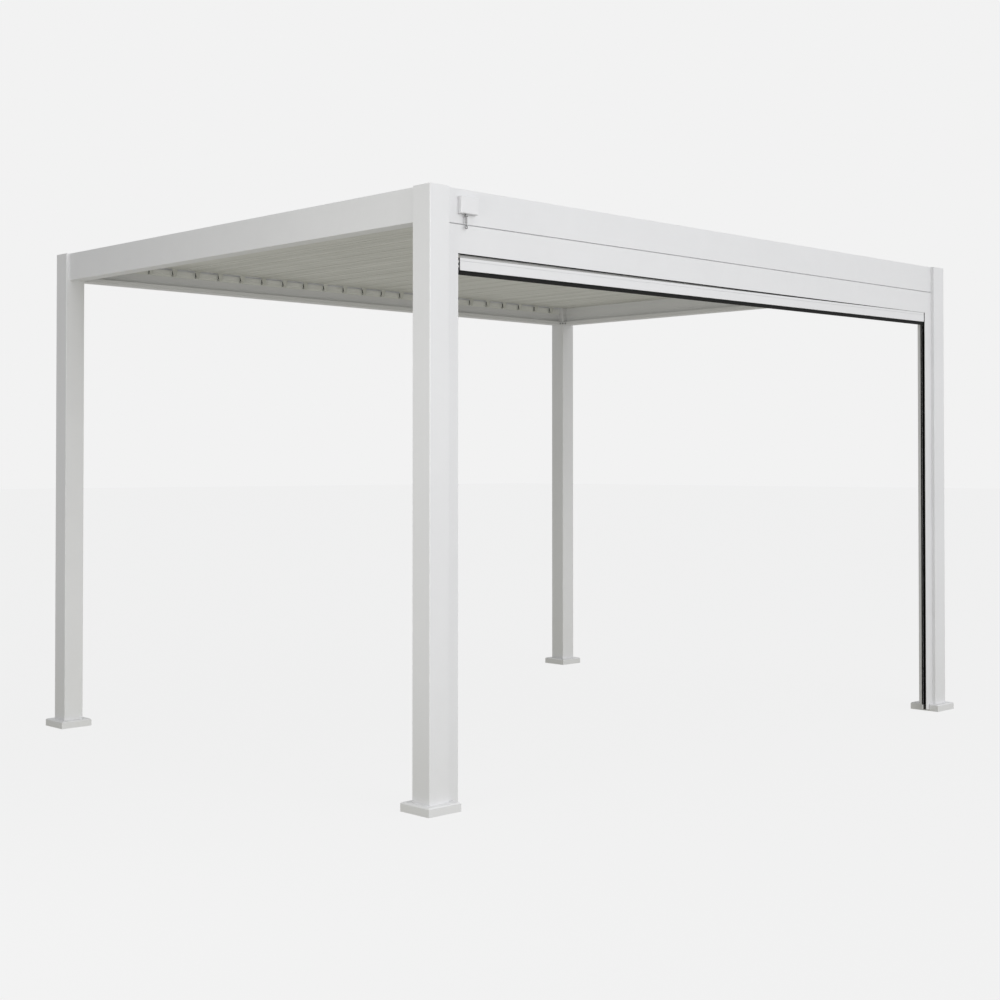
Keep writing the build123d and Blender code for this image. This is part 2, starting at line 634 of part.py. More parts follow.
def make_bar_plugs():
    """Toothed plastic plugs that close the bar's ends around its tongues."""
    inner = GUIDE_FACE_X - BAR_END_GAP
    step = BAR_H / END_PLUG_TEETH
    with BuildPart() as plugs:
        for side_x, gap in ((-1, BAR_GAP_LEFT), (1, BAR_GAP_RIGHT)):
            top = CASSETTE_BOTTOM - gap
            outline = [(side_x * (inner + END_PLUG_CLEARANCE), top)]
            for tooth in range(END_PLUG_TEETH):
                root = top - tooth * step
                outline.append((side_x * (inner + END_PLUG_T), root))
                outline.append((side_x * (inner + END_PLUG_T + END_PLUG_TOOTH), root - step / 2))
            outline.append((side_x * (inner + END_PLUG_T), top - BAR_H))
            outline.append((side_x * (inner + END_PLUG_CLEARANCE), top - BAR_H))
            with BuildSketch(Plane.XZ.offset(-FACE_Y)):
                Polygon(*outline, align=None)
            extrude(amount=-BAR_D)
            with Locations((side_x * inner, FACE_Y + BAR_D / 2, top - BAR_H / 2)):
                Box(
                    2 * BAR_END_GAP, TONGUE_T + 2 * INSERT_CLEARANCE, BAR_H - 2 * BAR_GROOVE_DROP + 2,
                    mode=Mode.SUBTRACT,
                )
    save(plugs.part, "bar_end_plugs")


def make_seal():
    """Rubber seal under the bar, keyed into its underside."""
    seal_l = 2 * (GUIDE_FACE_X - BAR_END_GAP)
    with BuildPart() as seal:
        with BuildSketch(bar_plane()):
            with Locations((BAR_D / 2, -BAR_H)):
                Rectangle(SEAL_T, SEAL_H, align=(Align.CENTER, Align.MAX))
                Rectangle(
                    SEAL_T - 2 * BAR_GROOVE_D - 2 * INSERT_CLEARANCE, BAR_GROOVE_D,
                    align=(Align.CENTER, Align.MIN),
                )
        extrude(amount=seal_l / 2, both=True)
    save(seal.part, "screen_seal")


def make_screen():
    """The stretch of screen between its roll and the bottom bar."""
    half = GUIDE_FACE_X - 2 * BAR_END_GAP
    low_mid = CASSETTE_BOTTOM - (BAR_GAP_LEFT + BAR_GAP_RIGHT) / 2 - BAR_POCKET_DEPTH + INSERT_CLEARANCE
    rise = (BAR_GAP_LEFT - BAR_GAP_RIGHT) / 2 * half / GUIDE_FACE_X
    top = CASSETTE_BOTTOM + CASSETTE_H / 2
    with BuildPart() as screen:
        with BuildSketch(Plane.XZ.offset(-(FACE_Y + SCREEN_BACK))):
            with BuildLine():
                Polyline((-half, low_mid - rise), (half, low_mid + rise), (half, top), (-half, top), close=True)
            make_face()
        extrude(amount=SCREEN_T / 2, both=True)
    save(screen.part, "screen_fabric")


def guide_section(side_x):
    """Sketches a screen guide in plan: slotted front chamber and a stepped base behind it."""
    to_post = Align.MIN if side_x < 0 else Align.MAX
    x0 = side_x * GUIDE_X
    y0 = FACE_Y
    face = side_x * GUIDE_FACE_X
    with Locations((x0, y0)):
        Rectangle(GUIDE_W, GUIDE_FRONT_D, align=(to_post, Align.MIN))
    with Locations((x0, y0 + GUIDE_FRONT_D)):
        Rectangle(GUIDE_W - GUIDE_BACK_STEP, GUIDE_BACK_D, align=(to_post, Align.MIN))
    from_face = Align.MAX if side_x < 0 else Align.MIN
    with Locations((face, y0 + GUIDE_WALL)):
        Rectangle(GUIDE_SLOT_DEPTH, GUIDE_SLOT_W, align=(from_face, Align.MIN), mode=Mode.SUBTRACT)
    chamber = GUIDE_W - GUIDE_SLOT_DEPTH - 2 * GUIDE_WALL
    with Locations((x0 - side_x * (GUIDE_WALL + chamber / 2), y0 + GUIDE_FRONT_D / 2)):
        Rectangle(chamber, GUIDE_FRONT_D - 2 * GUIDE_WALL, mode=Mode.SUBTRACT)
    back_w = GUIDE_W - GUIDE_BACK_STEP - 2 * GUIDE_WALL
    with Locations((x0 - side_x * (GUIDE_WALL + back_w / 2), y0 + GUIDE_FRONT_D + GUIDE_BACK_D / 2)):
        Rectangle(back_w, GUIDE_BACK_D - 2 * GUIDE_WALL, mode=Mode.SUBTRACT)


def make_guide(name, side_x):
    """Screen guide on the inner face of a front post, from its foot cover to the cassette."""
    with BuildPart() as guide:
        with BuildSketch(Plane.XY.offset(COVER_H)):
            guide_section(side_x)
        extrude(amount=CASSETTE_BOTTOM - COVER_H)
    save(guide.part, f"screen_guide_{name}")


def make_guide_inserts():
    """Dark lining of both guide slots."""
    liner_d = GUIDE_SLOT_DEPTH - INSERT_SETBACK
    liner_w = GUIDE_SLOT_W - 2 * INSERT_CLEARANCE
    slot_y = FACE_Y + GUIDE_WALL + GUIDE_SLOT_W / 2
    with BuildPart() as inserts:
        with BuildSketch(Plane.XY.offset(COVER_H)):
            for side_x in (-1, 1):
                bottom_x = side_x * (GUIDE_FACE_X + GUIDE_SLOT_DEPTH - INSERT_CLEARANCE)
                from_bottom = Align.MIN if side_x < 0 else Align.MAX
                with Locations((bottom_x, slot_y)):
                    Rectangle(liner_d, liner_w, align=(from_bottom, Align.CENTER))
                with Locations((bottom_x - side_x * INSERT_T, slot_y)):
                    Rectangle(
                        liner_d, liner_w - 2 * INSERT_T,
                        align=(from_bottom, Align.CENTER), mode=Mode.SUBTRACT,
                    )
        extrude(amount=CASSETTE_BOTTOM - COVER_H)
    save(inserts.part, "guide_inserts")


def make_guide_plugs():
    """Plastic foot of each guide, beside the foot cover."""
    cover_side = GUIDE_X - COVER_OVERHANG
    plug_w = cover_side - GUIDE_FACE_X - PLUG_CLEARANCE
    with BuildPart() as plugs:
        with BuildSketch(Plane.XY.offset(COVER_H)):
            for side_x in (-1, 1):
                with Locations((side_x * GUIDE_FACE_X, FACE_Y)):
                    Rectangle(
                        plug_w, GUIDE_FRONT_D,
                        align=(Align.MAX if side_x < 0 else Align.MIN, Align.MIN),
                    )
        extrude(amount=-PLUG_H)
    save(plugs.part, "guide_end_plugs")


for corner, (side_x, side_y) in CORNERS.items():
    make_post(corner, side_x, side_y)
    make_foot_plate(corner, side_x, side_y)
make_caps()
make_foot_covers()
make_long_beam("front", -1)
make_long_beam("rear", 1)
make_short_beam("left", -1)
make_short_beam("right", 1)
make_corner_brackets()
for louver_number in range(1, LOUVER_COUNT + 1):
    make_louver(louver_number)
make_link_bar()
make_pivot_rails()
make_edge_strip("left", -1)
make_edge_strip("right", 1)
make_gearbox()
make_crank_eye()
make_cassette()
make_screen_roll()
make_bottom_bar()
make_bar_plugs()
make_seal()
make_screen()
make_guide("left", -1)
make_guide("right", 1)
make_guide_inserts()
make_guide_plugs()
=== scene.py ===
# %% [markdown]
# This lesson dresses a louvered pergola for a studio picture. The frame, the roof blades and the screen
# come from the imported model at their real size. Here they get their finishes, the small fixings that a
# fitter would see, a camera and soft light.

# %% Load the frame
import bpy
import json
from math import pi, radians
from mathutils import Matrix, Vector


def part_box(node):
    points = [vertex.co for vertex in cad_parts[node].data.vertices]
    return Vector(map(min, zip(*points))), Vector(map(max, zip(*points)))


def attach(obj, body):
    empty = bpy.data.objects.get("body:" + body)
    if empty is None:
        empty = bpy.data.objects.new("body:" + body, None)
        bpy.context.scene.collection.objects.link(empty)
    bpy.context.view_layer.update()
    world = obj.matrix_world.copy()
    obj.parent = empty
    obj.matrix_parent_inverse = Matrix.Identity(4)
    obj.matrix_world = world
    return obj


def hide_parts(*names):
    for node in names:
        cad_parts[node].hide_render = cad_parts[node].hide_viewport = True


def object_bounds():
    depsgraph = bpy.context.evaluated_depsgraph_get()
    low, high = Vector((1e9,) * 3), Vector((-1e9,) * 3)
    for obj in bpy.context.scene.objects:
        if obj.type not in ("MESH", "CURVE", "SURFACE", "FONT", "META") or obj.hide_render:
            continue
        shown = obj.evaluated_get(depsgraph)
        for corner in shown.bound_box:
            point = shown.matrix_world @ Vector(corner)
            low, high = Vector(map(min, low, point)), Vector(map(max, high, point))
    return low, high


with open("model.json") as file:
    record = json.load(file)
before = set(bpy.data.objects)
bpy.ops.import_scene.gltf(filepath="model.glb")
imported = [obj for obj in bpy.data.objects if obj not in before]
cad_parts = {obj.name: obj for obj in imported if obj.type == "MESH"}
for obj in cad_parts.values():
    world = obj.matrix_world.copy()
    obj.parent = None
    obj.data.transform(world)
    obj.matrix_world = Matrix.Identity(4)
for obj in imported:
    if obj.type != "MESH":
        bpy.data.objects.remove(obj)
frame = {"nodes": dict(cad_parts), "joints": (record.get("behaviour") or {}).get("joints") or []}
cad_low, cad_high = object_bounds()
print("model box", [round(v, 3) for v in cad_low], [round(v, 3) for v in cad_high])

# %% [markdown]
# Later cells place fixings where the metal is. Those places could be typed in as numbers, but they are
# read from the model instead, so that they follow it: a box for each node and a pivot for each blade.

# %% Read the places of the pieces
MM = 0.001
nodes = frame["nodes"]
pivots = {j["child"]: Vector(j["pos_m"]) for j in frame["joints"]}
blades = sorted(name for name in nodes if name.startswith("louver_"))
front_beam_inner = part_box("beam_front")[1]
left_beam_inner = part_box("beam_left")[1]
near_post_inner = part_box("post_front_left")[1]
lip_y = -front_beam_inner.y
lip_x = -left_beam_inner.x
post_inner_x = -near_post_inner.x
post_inner_y = -near_post_inner.y
print(len(blades), "blades,", "gutter lips at", round(lip_x, 4), round(lip_y, 4))

# %% [markdown]
# The camera stands a little under eye height, outside the front left corner. It could be tilted up to
# take in the roof, but the posts would then lean inwards. So it looks nearly level, and a small vertical
# shift of the lens frames the pergola.

# %% Set the camera
CAMERA_PLACE = (-6.0686, -6.1557, 1.3792)
CAMERA_YAW = radians(44.24)
CAMERA_PITCH = radians(0.89)
SENSOR_WIDTH = 36.0
LENS = 56.56
SHIFT_ACROSS = -0.0051
SHIFT_UP = -0.0590
camera_data = bpy.data.cameras.new("studio_camera")
camera_data.sensor_width = SENSOR_WIDTH
camera_data.lens = LENS
camera_data.shift_x = SHIFT_ACROSS
camera_data.shift_y = SHIFT_UP
camera = bpy.data.objects.new("studio_camera", camera_data)
camera.location = CAMERA_PLACE
camera.rotation_euler = (pi / 2 + CAMERA_PITCH, 0.0, -CAMERA_YAW)
bpy.context.scene.collection.objects.link(camera)
bpy.context.scene.camera = camera
bpy.context.scene.view_settings.view_transform = "Standard"
print("camera at", CAMERA_PLACE, "lens", LENS)

# %% [markdown]
# A studio for white goods is white all round, with the light coming mostly from large soft sources. The
# lens sees one even pale backdrop. What lights the metal differs by direction: most comes from the
# front, the right and above, and less from behind and the left. Each source is a lobe, strongest where
# it points and fading with the square of the cosine. Lamps could do this too, but lobes throw no hard
# shadows and have no edge that a reflection would show.

# %% Light from all round
BACKDROP = (0.888, 0.888, 0.888, 1.0)
SKY_TINT = (0.99, 0.995, 1.0, 1.0)
LOBE_FADE = 2.0
ABOVE = 0.65
FRONT = 1.10
RIGHT = 0.85
BEHIND = 0.50
LEFT = 0.20
SKY_LOBES = (
    ((0.0, 0.0, 1.0), ABOVE),
    ((0.0, -1.0, 0.0), FRONT),
    ((1.0, 0.0, 0.0), RIGHT),
    ((0.0, 1.0, 0.0), BEHIND),
    ((-1.0, 0.0, 0.0), LEFT),
)


def math_node(tree, operation, *values):
    """Adds a math node, feeds its inputs with sockets or numbers, and returns its output."""
    node = tree.nodes.new("ShaderNodeMath")
    node.operation = operation
    for socket, value in zip(node.inputs, values):
        if isinstance(value, bpy.types.NodeSocket):
            tree.links.new(value, socket)
        else:
            socket.default_value = value
    return node.outputs[0]


world = bpy.data.worlds.new("studio")
bpy.context.scene.world = world
world.use_nodes = True
tree = world.node_tree
tree.nodes.clear()
direction = tree.nodes.new("ShaderNodeTexCoord")
brightness = 0.0
for axis, strength in SKY_LOBES:
    towards = tree.nodes.new("ShaderNodeVectorMath")
    towards.operation = "DOT_PRODUCT"
    tree.links.new(direction.outputs["Generated"], towards.inputs[0])
    towards.inputs[1].default_value = axis
    near_side = math_node(tree, "MAXIMUM", towards.outputs["Value"], 0.0)
    lobe = math_node(tree, "POWER", near_side, LOBE_FADE)
    brightness = math_node(tree, "MULTIPLY_ADD", lobe, strength, brightness)
soft_sky = tree.nodes.new("ShaderNodeBackground")
soft_sky.inputs["Color"].default_value = SKY_TINT
seen = tree.nodes.new("ShaderNodeBackground")
seen.inputs["Color"].default_value = BACKDROP
rays = tree.nodes.new("ShaderNodeLightPath")
blend = tree.nodes.new("ShaderNodeMixShader")
out = tree.nodes.new("ShaderNodeOutputWorld")
tree.links.new(brightness, soft_sky.inputs["Strength"])
tree.links.new(rays.outputs["Is Camera Ray"], blend.inputs["Fac"])
tree.links.new(soft_sky.outputs[0], blend.inputs[1])
tree.links.new(seen.outputs[0], blend.inputs[2])
tree.links.new(blend.outputs[0], out.inputs["Surface"])
print("sky lobes", len(SKY_LOBES))

# %% [markdown]
# Two square lamps shape the frame. One stands in front and lights the long side evenly. The other is
# small and stands by the left side, near the front corner, so its light falls off along the short beam.
# A point lamp would draw sharp shadows of the posts, which a soft studio hasn't.

# %% Add the soft lamps
FRONT_POWER = 220.0
FRONT_SIZE = 5.0
FRONT_PLACE = (-1.0, -9.5, 4.0)
FRONT_TARGET = (-0.5, -1.5, 1.3)
FRONT_TINT = (0.98, 0.985, 1.0)
CORNER_POWER = 44.0
CORNER_SIZE = 1.5
CORNER_PLACE = (-5.2, -2.0, 1.9)
CORNER_TARGET = (-1.95, -1.3, 1.6)
CORNER_TINT = (1.0, 1.0, 0.96)


def soft_lamp(name, place, target, size, power, colour):
    """Adds a square area lamp that faces its target."""
    lamp = bpy.data.lights.new(name, "AREA")
    lamp.shape = "SQUARE"
    lamp.size = size
    lamp.energy = power
    lamp.color = colour
    holder = bpy.data.objects.new(name, lamp)
    holder.location = place
    holder.rotation_euler = (Vector(target) - Vector(place)).to_track_quat("-Z", "Y").to_euler()
    bpy.context.scene.collection.objects.link(holder)


soft_lamp("front_lamp", FRONT_PLACE, FRONT_TARGET, FRONT_SIZE, FRONT_POWER, FRONT_TINT)
soft_lamp("corner_lamp", CORNER_PLACE, CORNER_TARGET, CORNER_SIZE, CORNER_POWER, CORNER_TINT)
print("lamps", FRONT_POWER, CORNER_POWER)

# %% [markdown]
# The floor is the same pale tone as the backdrop, so that no horizon shows, with only a breath of
# shadow at the feet. To the metal the floor glows with painted light, set apart from what the lens sees:
# the roof shades the floor, so this painted glow is weaker and warmer under it than outside, a painted
# shadow of the roof. A soft mask over the floor's own coordinates makes that change.

# %% Lay the floor
FLOOR_SIZE = 160.0
FLOOR_PAINT = (0.86, 0.86, 0.86, 1.0)
SHADOW_SHARE = 0.06
SHADED_GLOW = (0.353, 0.349, 0.291, 1.0)
OPEN_GLOW = (0.476, 0.474, 0.456, 1.0)
SHADE_FROM = -0.6
SHADE_TO = 1.4
bpy.ops.object.select_all(action="DESELECT")
bpy.ops.mesh.primitive_plane_add(size=FLOOR_SIZE, location=(0.0, 0.0, 0.0))
floor = bpy.context.object
floor.name = "studio_floor"
floor_paint = bpy.data.materials.new("floor_paint")
floor_paint.use_nodes = True
tree = floor_paint.node_tree
tree.nodes.clear()
place = tree.nodes.new("ShaderNodeTexCoord")
axes = tree.nodes.new("ShaderNodeSeparateXYZ")
tree.links.new(place.outputs["Object"], axes.inputs[0])
beyond = [
    math_node(tree, "SUBTRACT", math_node(tree, "ABSOLUTE", axes.outputs[axis]), reach)
    for axis, reach in (("X", cad_high.x), ("Y", cad_high.y))
]
open_air = tree.nodes.new("ShaderNodeMapRange")
open_air.interpolation_type = "SMOOTHSTEP"
open_air.inputs["From Min"].default_value = SHADE_FROM
open_air.inputs["From Max"].default_value = SHADE_TO
tree.links.new(math_node(tree, "MAXIMUM", *beyond), open_air.inputs["Value"])
glow_tone = tree.nodes.new("ShaderNodeMix")
glow_tone.data_type = "RGBA"
glow_tone.inputs["A"].default_value = SHADED_GLOW
glow_tone.inputs["B"].default_value = OPEN_GLOW
tree.links.new(open_air.outputs["Result"], glow_tone.inputs["Factor"])
# The light thrown up at the metal is a painted glow, with the roof's shadow painted into it.
painted_floor_glow = tree.nodes.new("ShaderNodeEmission")
tree.links.new(glow_tone.outputs["Result"], painted_floor_glow.inputs["Color"])
even = tree.nodes.new("ShaderNodeEmission")
even.inputs["Color"].default_value = BACKDROP
pale = tree.nodes.new("ShaderNodeBsdfDiffuse")
pale.inputs["Color"].default_value = FLOOR_PAINT
shaded = tree.nodes.new("ShaderNodeMixShader")
shaded.inputs["Fac"].default_value = SHADOW_SHARE
rays = tree.nodes.new("ShaderNodeLightPath")
choose = tree.nodes.new("ShaderNodeMixShader")
out = tree.nodes.new("ShaderNodeOutputMaterial")
tree.links.new(even.outputs[0], shaded.inputs[1])
tree.links.new(pale.outputs[0], shaded.inputs[2])
tree.links.new(rays.outputs["Is Camera Ray"], choose.inputs["Fac"])
tree.links.new(painted_floor_glow.outputs[0], choose.inputs[1])
tree.links.new(shaded.outputs[0], choose.inputs[2])
tree.links.new(choose.outputs[0], out.inputs["Surface"])
floor.data.materials.append(floor_paint)
print("floor", FLOOR_SIZE, "m square")

# %% [markdown]
# Powder coat is sprayed on dry and baked. Seen close it has a fine orange peel, and over a long profile
# its tone drifts a little. Each material could have its own textures for that, but one group makes both
# from the surface's own coordinates, and each finish sets its colours and its gloss.

# %% Build the powder coat group
PEEL_SCALE = 520.0
DRIFT_SCALE = 2.3
CLOUD_SCALE = 14.0
CLOUD_SHARE = 0.45
TONE_OFFSET = -0.22
GLOSS_SPREAD = 0.12


def new_group(name, inputs, outputs):
    """Starts a shader group with named float, vector or colour sockets."""
    kinds = {"float": "NodeSocketFloat", "vector": "NodeSocketVector", "colour": "NodeSocketColor"}
    group = bpy.data.node_groups.new(name, "ShaderNodeTree")
    for label, kind, value in inputs:
        socket = group.interface.new_socket(label, in_out="INPUT", socket_type=kinds[kind])
        socket.default_value = value
    for label, kind in outputs:
        group.interface.new_socket(label, in_out="OUTPUT", socket_type=kinds[kind])
    return group, group.nodes.new("NodeGroupInput"), group.nodes.new("NodeGroupOutput")


def noise(tree, vector, scale, detail=2.0, roughness=0.5):
    """Adds a noise texture over the vector and returns its value."""
    node = tree.nodes.new("ShaderNodeTexNoise")
    node.inputs["Scale"].default_value = scale
    node.inputs["Detail"].default_value = detail
    node.inputs["Roughness"].default_value = roughness
    tree.links.new(vector, node.inputs["Vector"])
    return node.outputs["Fac"]


def sum_of(tree, first, share, second, offset=0.0):
    """Adds first times share to second, and then an offset where there is one."""
    total = math_node(tree, "MULTIPLY_ADD", first, share, second)
    if offset == 0.0:
        return total
    return math_node(tree, "ADD", total, offset)


def mix_colour(tree, factor, first, second):
    """Mixes two colours, sockets or values, by a factor socket."""
    node = tree.nodes.new("ShaderNodeMix")
    node.data_type = "RGBA"
    tree.links.new(factor, node.inputs["Factor"])
    for socket, value in ((node.inputs["A"], first), (node.inputs["B"], second)):
        if isinstance(value, bpy.types.NodeSocket):
            tree.links.new(value, socket)
        else:
            socket.default_value = value
    return node.outputs["Result"]


coat, coat_in, coat_out = new_group(
    "powder_coat",
    [
        ("Vector", "vector", (0, 0, 0)),
        ("Light", "colour", (0.8, 0.8, 0.8, 1)),
        ("Dark", "colour", (0.7, 0.7, 0.7, 1)),
        ("Gloss", "float", 0.4),
    ],
    [("Color", "colour"), ("Roughness", "float"), ("Height", "float")],
)
peel = noise(coat, coat_in.outputs["Vector"], PEEL_SCALE)
drift = noise(coat, coat_in.outputs["Vector"], DRIFT_SCALE, 3.0)
cloud = noise(coat, coat_in.outputs["Vector"], CLOUD_SCALE, 4.0, 0.6)
tone = sum_of(coat, cloud, CLOUD_SHARE, drift, TONE_OFFSET)
toned = mix_colour(coat, tone, coat_in.outputs["Dark"], coat_in.outputs["Light"])
rough = sum_of(coat, cloud, GLOSS_SPREAD, coat_in.outputs["Gloss"], -GLOSS_SPREAD / 2)
coat.links.new(toned, coat_out.inputs["Color"])
coat.links.new(rough, coat_out.inputs["Roughness"])
coat.links.new(peel, coat_out.inputs["Height"])
print("group", coat.name)

# %% [markdown]
# The profiles are pressed through a die, which leaves faint lines along their length, also under paint.
# Waves would make lines that are too regular, so stretched noise makes them: hardly any change along the
# profile and a quick one across it. The stretch is a vector input, so one group serves posts, beams and
# blades. It gives fine lines, and broad bands eight times as wide.

# %% Build the die line group
LINE_SCALE = 1.0
BAND_TO_LINE = 8
lines, lines_in, lines_out = new_group(
    "die_lines",
    [("Vector", "vector", (0, 0, 0)), ("Stretch", "vector", (1, 1, 1))],
    [("Line", "float"), ("Broad", "float")],
)
stretched = lines.nodes.new("ShaderNodeVectorMath")
stretched.operation = "MULTIPLY"
lines.links.new(lines_in.outputs["Vector"], stretched.inputs[0])
lines.links.new(lines_in.outputs["Stretch"], stretched.inputs[1])
fine = noise(lines, stretched.outputs[0], LINE_SCALE, 3.0, 0.65)
wide = noise(lines, stretched.outputs[0], LINE_SCALE / BAND_TO_LINE, 1.0)
lines.links.new(fine, lines_out.inputs["Line"])
lines.links.new(wide, lines_out.inputs["Broad"])
print("group", lines.name)

# %% [markdown]
# Outdoor dust settles thinly where a face looks up and near the ground. It could be painted on by hand,
# but the group gives a mask from the surface's own normal and height, broken up by noise. Every painted
# finish uses it with its own share.

# %% Build the dust group
SPLASH_HEIGHT = 0.35
SPLASH_SHARE = 0.6
LOOKS_UP_FROM = 0.6
SPECKLE_SCALE = 38.0
dust, dust_in, dust_out = new_group(
    "settled_dust",
    [("Vector", "vector", (0, 0, 0)), ("Share", "float", 0.1)],
    [("Mask", "float")],
)
surface = dust.nodes.new("ShaderNodeNewGeometry")
looking = dust.nodes.new("ShaderNodeSeparateXYZ")
dust.links.new(surface.outputs["Normal"], looking.inputs[0])
upward = dust.nodes.new("ShaderNodeMapRange")
upward.inputs["From Min"].default_value = LOOKS_UP_FROM
dust.links.new(looking.outputs["Z"], upward.inputs["Value"])
place = dust.nodes.new("ShaderNodeSeparateXYZ")
dust.links.new(dust_in.outputs["Vector"], place.inputs[0])
splash = dust.nodes.new("ShaderNodeMapRange")
splash.inputs["From Max"].default_value = SPLASH_HEIGHT
splash.inputs["To Min"].default_value = SPLASH_SHARE
splash.inputs["To Max"].default_value = 0.0
dust.links.new(place.outputs["Z"], splash.inputs["Value"])
gathered = math_node(dust, "MAXIMUM", upward.outputs[0], splash.outputs[0])
speckle = noise(dust, dust_in.outputs["Vector"], SPECKLE_SCALE, 5.0, 0.7)
broken = math_node(dust, "MULTIPLY", gathered, speckle)
scaled = math_node(dust, "MULTIPLY", broken, dust_in.outputs["Share"])
dust.links.new(scaled, dust_out.inputs["Mask"])
print("group", dust.name)

# %% [markdown]
# The white finish is the three groups on one shader: coat colour, then die lines as a faint change of
# tone and height, then dust. The frame, the blades and the die-cast covers differ only in tone, gloss
# and dust and in the strength and direction of the lines, so one function makes them all.

# %% Make the white finishes
WHITE = (0.800, 0.801, 0.812, 1.0)
SHADE = (0.745, 0.746, 0.757, 1.0)
BLADE_WHITE = (0.835, 0.834, 0.806, 1.0)
BLADE_SHADE = (0.625, 0.625, 0.588, 1.0)
FRAME_GLOSS = 0.42
BLADE_GLOSS = 0.48
CAST_GLOSS = 0.38
FRAME_LINES = 0.25
BLADE_LINES = 2.6
CAST_LINES = 0.1
FRAME_DUST = 0.12
BLADE_DUST = 0.15
DUST_COLOUR = (0.60, 0.59, 0.56, 1.0)
DUST_ROUGHENS = 0.5
BAND_MIDDLE = 0.35
LINE_HEIGHT = 0.5
COAT_DEPTH = 0.05 * MM
ACROSS = 900.0
ALONG = 1.2
BLADE_ACROSS = ACROSS / 9


def use_group(tree, group, place, **values):
    """Places a group in a material, on the given coordinates, and sets its inputs."""
    node = tree.nodes.new("ShaderNodeGroup")
    node.node_tree = group
    tree.links.new(place, node.inputs["Vector"])
    for label, value in values.items():
        node.inputs[label].default_value = value
    return node


def start_material(name, **settings):
    """Makes a material with a Principled shader, and returns its parts and its object coordinates."""
    material = bpy.data.materials.new(name)
    material.use_nodes = True
    tree = material.node_tree
    shader = tree.nodes["Principled BSDF"]
    for label, value in settings.items():
        shader.inputs[label.replace("_", " ")].default_value = value
    place = tree.nodes.new("ShaderNodeTexCoord")
    return material, tree, shader, place.outputs["Object"]


def add_bump(tree, shader, height, distance, strength):
    """Feeds a height to the shader's normal."""
    bump = tree.nodes.new("ShaderNodeBump")
    bump.inputs["Distance"].default_value = distance
    bump.inputs["Strength"].default_value = strength
    tree.links.new(height, bump.inputs["Height"])
    tree.links.new(bump.outputs["Normal"], shader.inputs["Normal"])


def white_finish(name, light, dark, gloss, stretch, line_share, dust_share):
    """A baked white coat over an extruded or cast surface."""
    material, tree, shader, place = start_material(name, IOR=1.5)
    coat_node = use_group(tree, coat, place, Light=light, Dark=dark, Gloss=gloss)
    line_node = use_group(tree, lines, place, Stretch=stretch)
    dust_node = use_group(tree, dust, place, Share=dust_share)
    streak = sum_of(tree, line_node.outputs["Broad"], line_share, -BAND_MIDDLE * line_share)
    lined = mix_colour(tree, streak, coat_node.outputs["Color"], dark)
    dusted = mix_colour(tree, dust_node.outputs["Mask"], lined, DUST_COLOUR)
    rough = sum_of(tree, dust_node.outputs["Mask"], DUST_ROUGHENS, coat_node.outputs["Roughness"])
    height = sum_of(tree, line_node.outputs["Line"], LINE_HEIGHT * line_share, coat_node.outputs["Height"])
    tree.links.new(dusted, shader.inputs["Base Color"])
    tree.links.new(rough, shader.inputs["Roughness"])
    add_bump(tree, shader, height, COAT_DEPTH, 0.35)
    return material


along_x = (ALONG, ACROSS, ACROSS)
along_y = (ACROSS, ALONG, ACROSS)
along_z = (ACROSS, ACROSS, ALONG)
along_blade = (BLADE_ACROSS, ALONG, BLADE_ACROSS)
even_grain = (ACROSS, ACROSS, ACROSS)
post_white = white_finish("post_white", WHITE, SHADE, FRAME_GLOSS, along_z, FRAME_LINES, FRAME_DUST)
long_white = white_finish("long_beam_white", WHITE, SHADE, FRAME_GLOSS, along_x, FRAME_LINES, FRAME_DUST)
short_white = white_finish("short_beam_white", WHITE, SHADE, FRAME_GLOSS, along_y, FRAME_LINES, FRAME_DUST)
blade_white = white_finish(
    "blade_white", BLADE_WHITE, BLADE_SHADE, BLADE_GLOSS, along_blade, BLADE_LINES, BLADE_DUST)
cast_white = white_finish("cast_white", WHITE, SHADE, CAST_GLOSS, even_grain, CAST_LINES, FRAME_DUST)
whites = (post_white, long_white, short_white, blade_white, cast_white)
print("white finishes", [white.name for white in whites])

# %% [markdown]
# The white pieces of the model keep their meshes and only get a finish. One finish for all would let the
# die lines run across some of them. So the names sort the pieces by the way their profile was pressed:
# posts and guides along Z, the long beams, the housing and the bottom bar along X, the short beams, the
# blades and the strips beside them along Y. Cast and bent pieces get the even grain.

# %% Paint the frame and the roof


def paint(piece, material):
    """Gives a piece one material."""
    piece.data.materials.clear()
    piece.data.materials.append(material)


for name, node in nodes.items():
    if name.startswith(("post_", "screen_guide")):
        paint(node, post_white)
    elif name.startswith(("louver_", "edge_strip")):
        paint(node, blade_white)
    elif name in ("beam_left", "beam_right"):
        paint(node, short_white)
    elif name in ("beam_front", "beam_rear", "screen_cassette", "screen_bottom_bar"):
        paint(node, long_white)
    elif name in ("foot_covers", "gearbox", "corner_brackets"):
        paint(node, cast_white)
print("painted white", sum(node.active_material in whites for node in nodes.values()), "of", len(nodes))

# %% [markdown]
# The rest of the metal is bare or plated: the mill finish bar that links the blades, zinc on the plates
# under the posts, and steel screws and crank eye. One even grey would do from afar, but close up metal is
# patchy. So one function gives them die lines and a texture of cells, small for the spangles of zinc and
# the grain of steel, and large for the soft patches on mill aluminium.

# %% Make the bare metals
SPANGLE_CONTRAST = 0.4
SPANGLE_ROUGHNESS = 0.14
METAL_DEPTH = 0.03 * MM
ZINC_SPANGLES = 260.0
STEEL_SPANGLES = 420.0
MILL_SPANGLES = 40.0


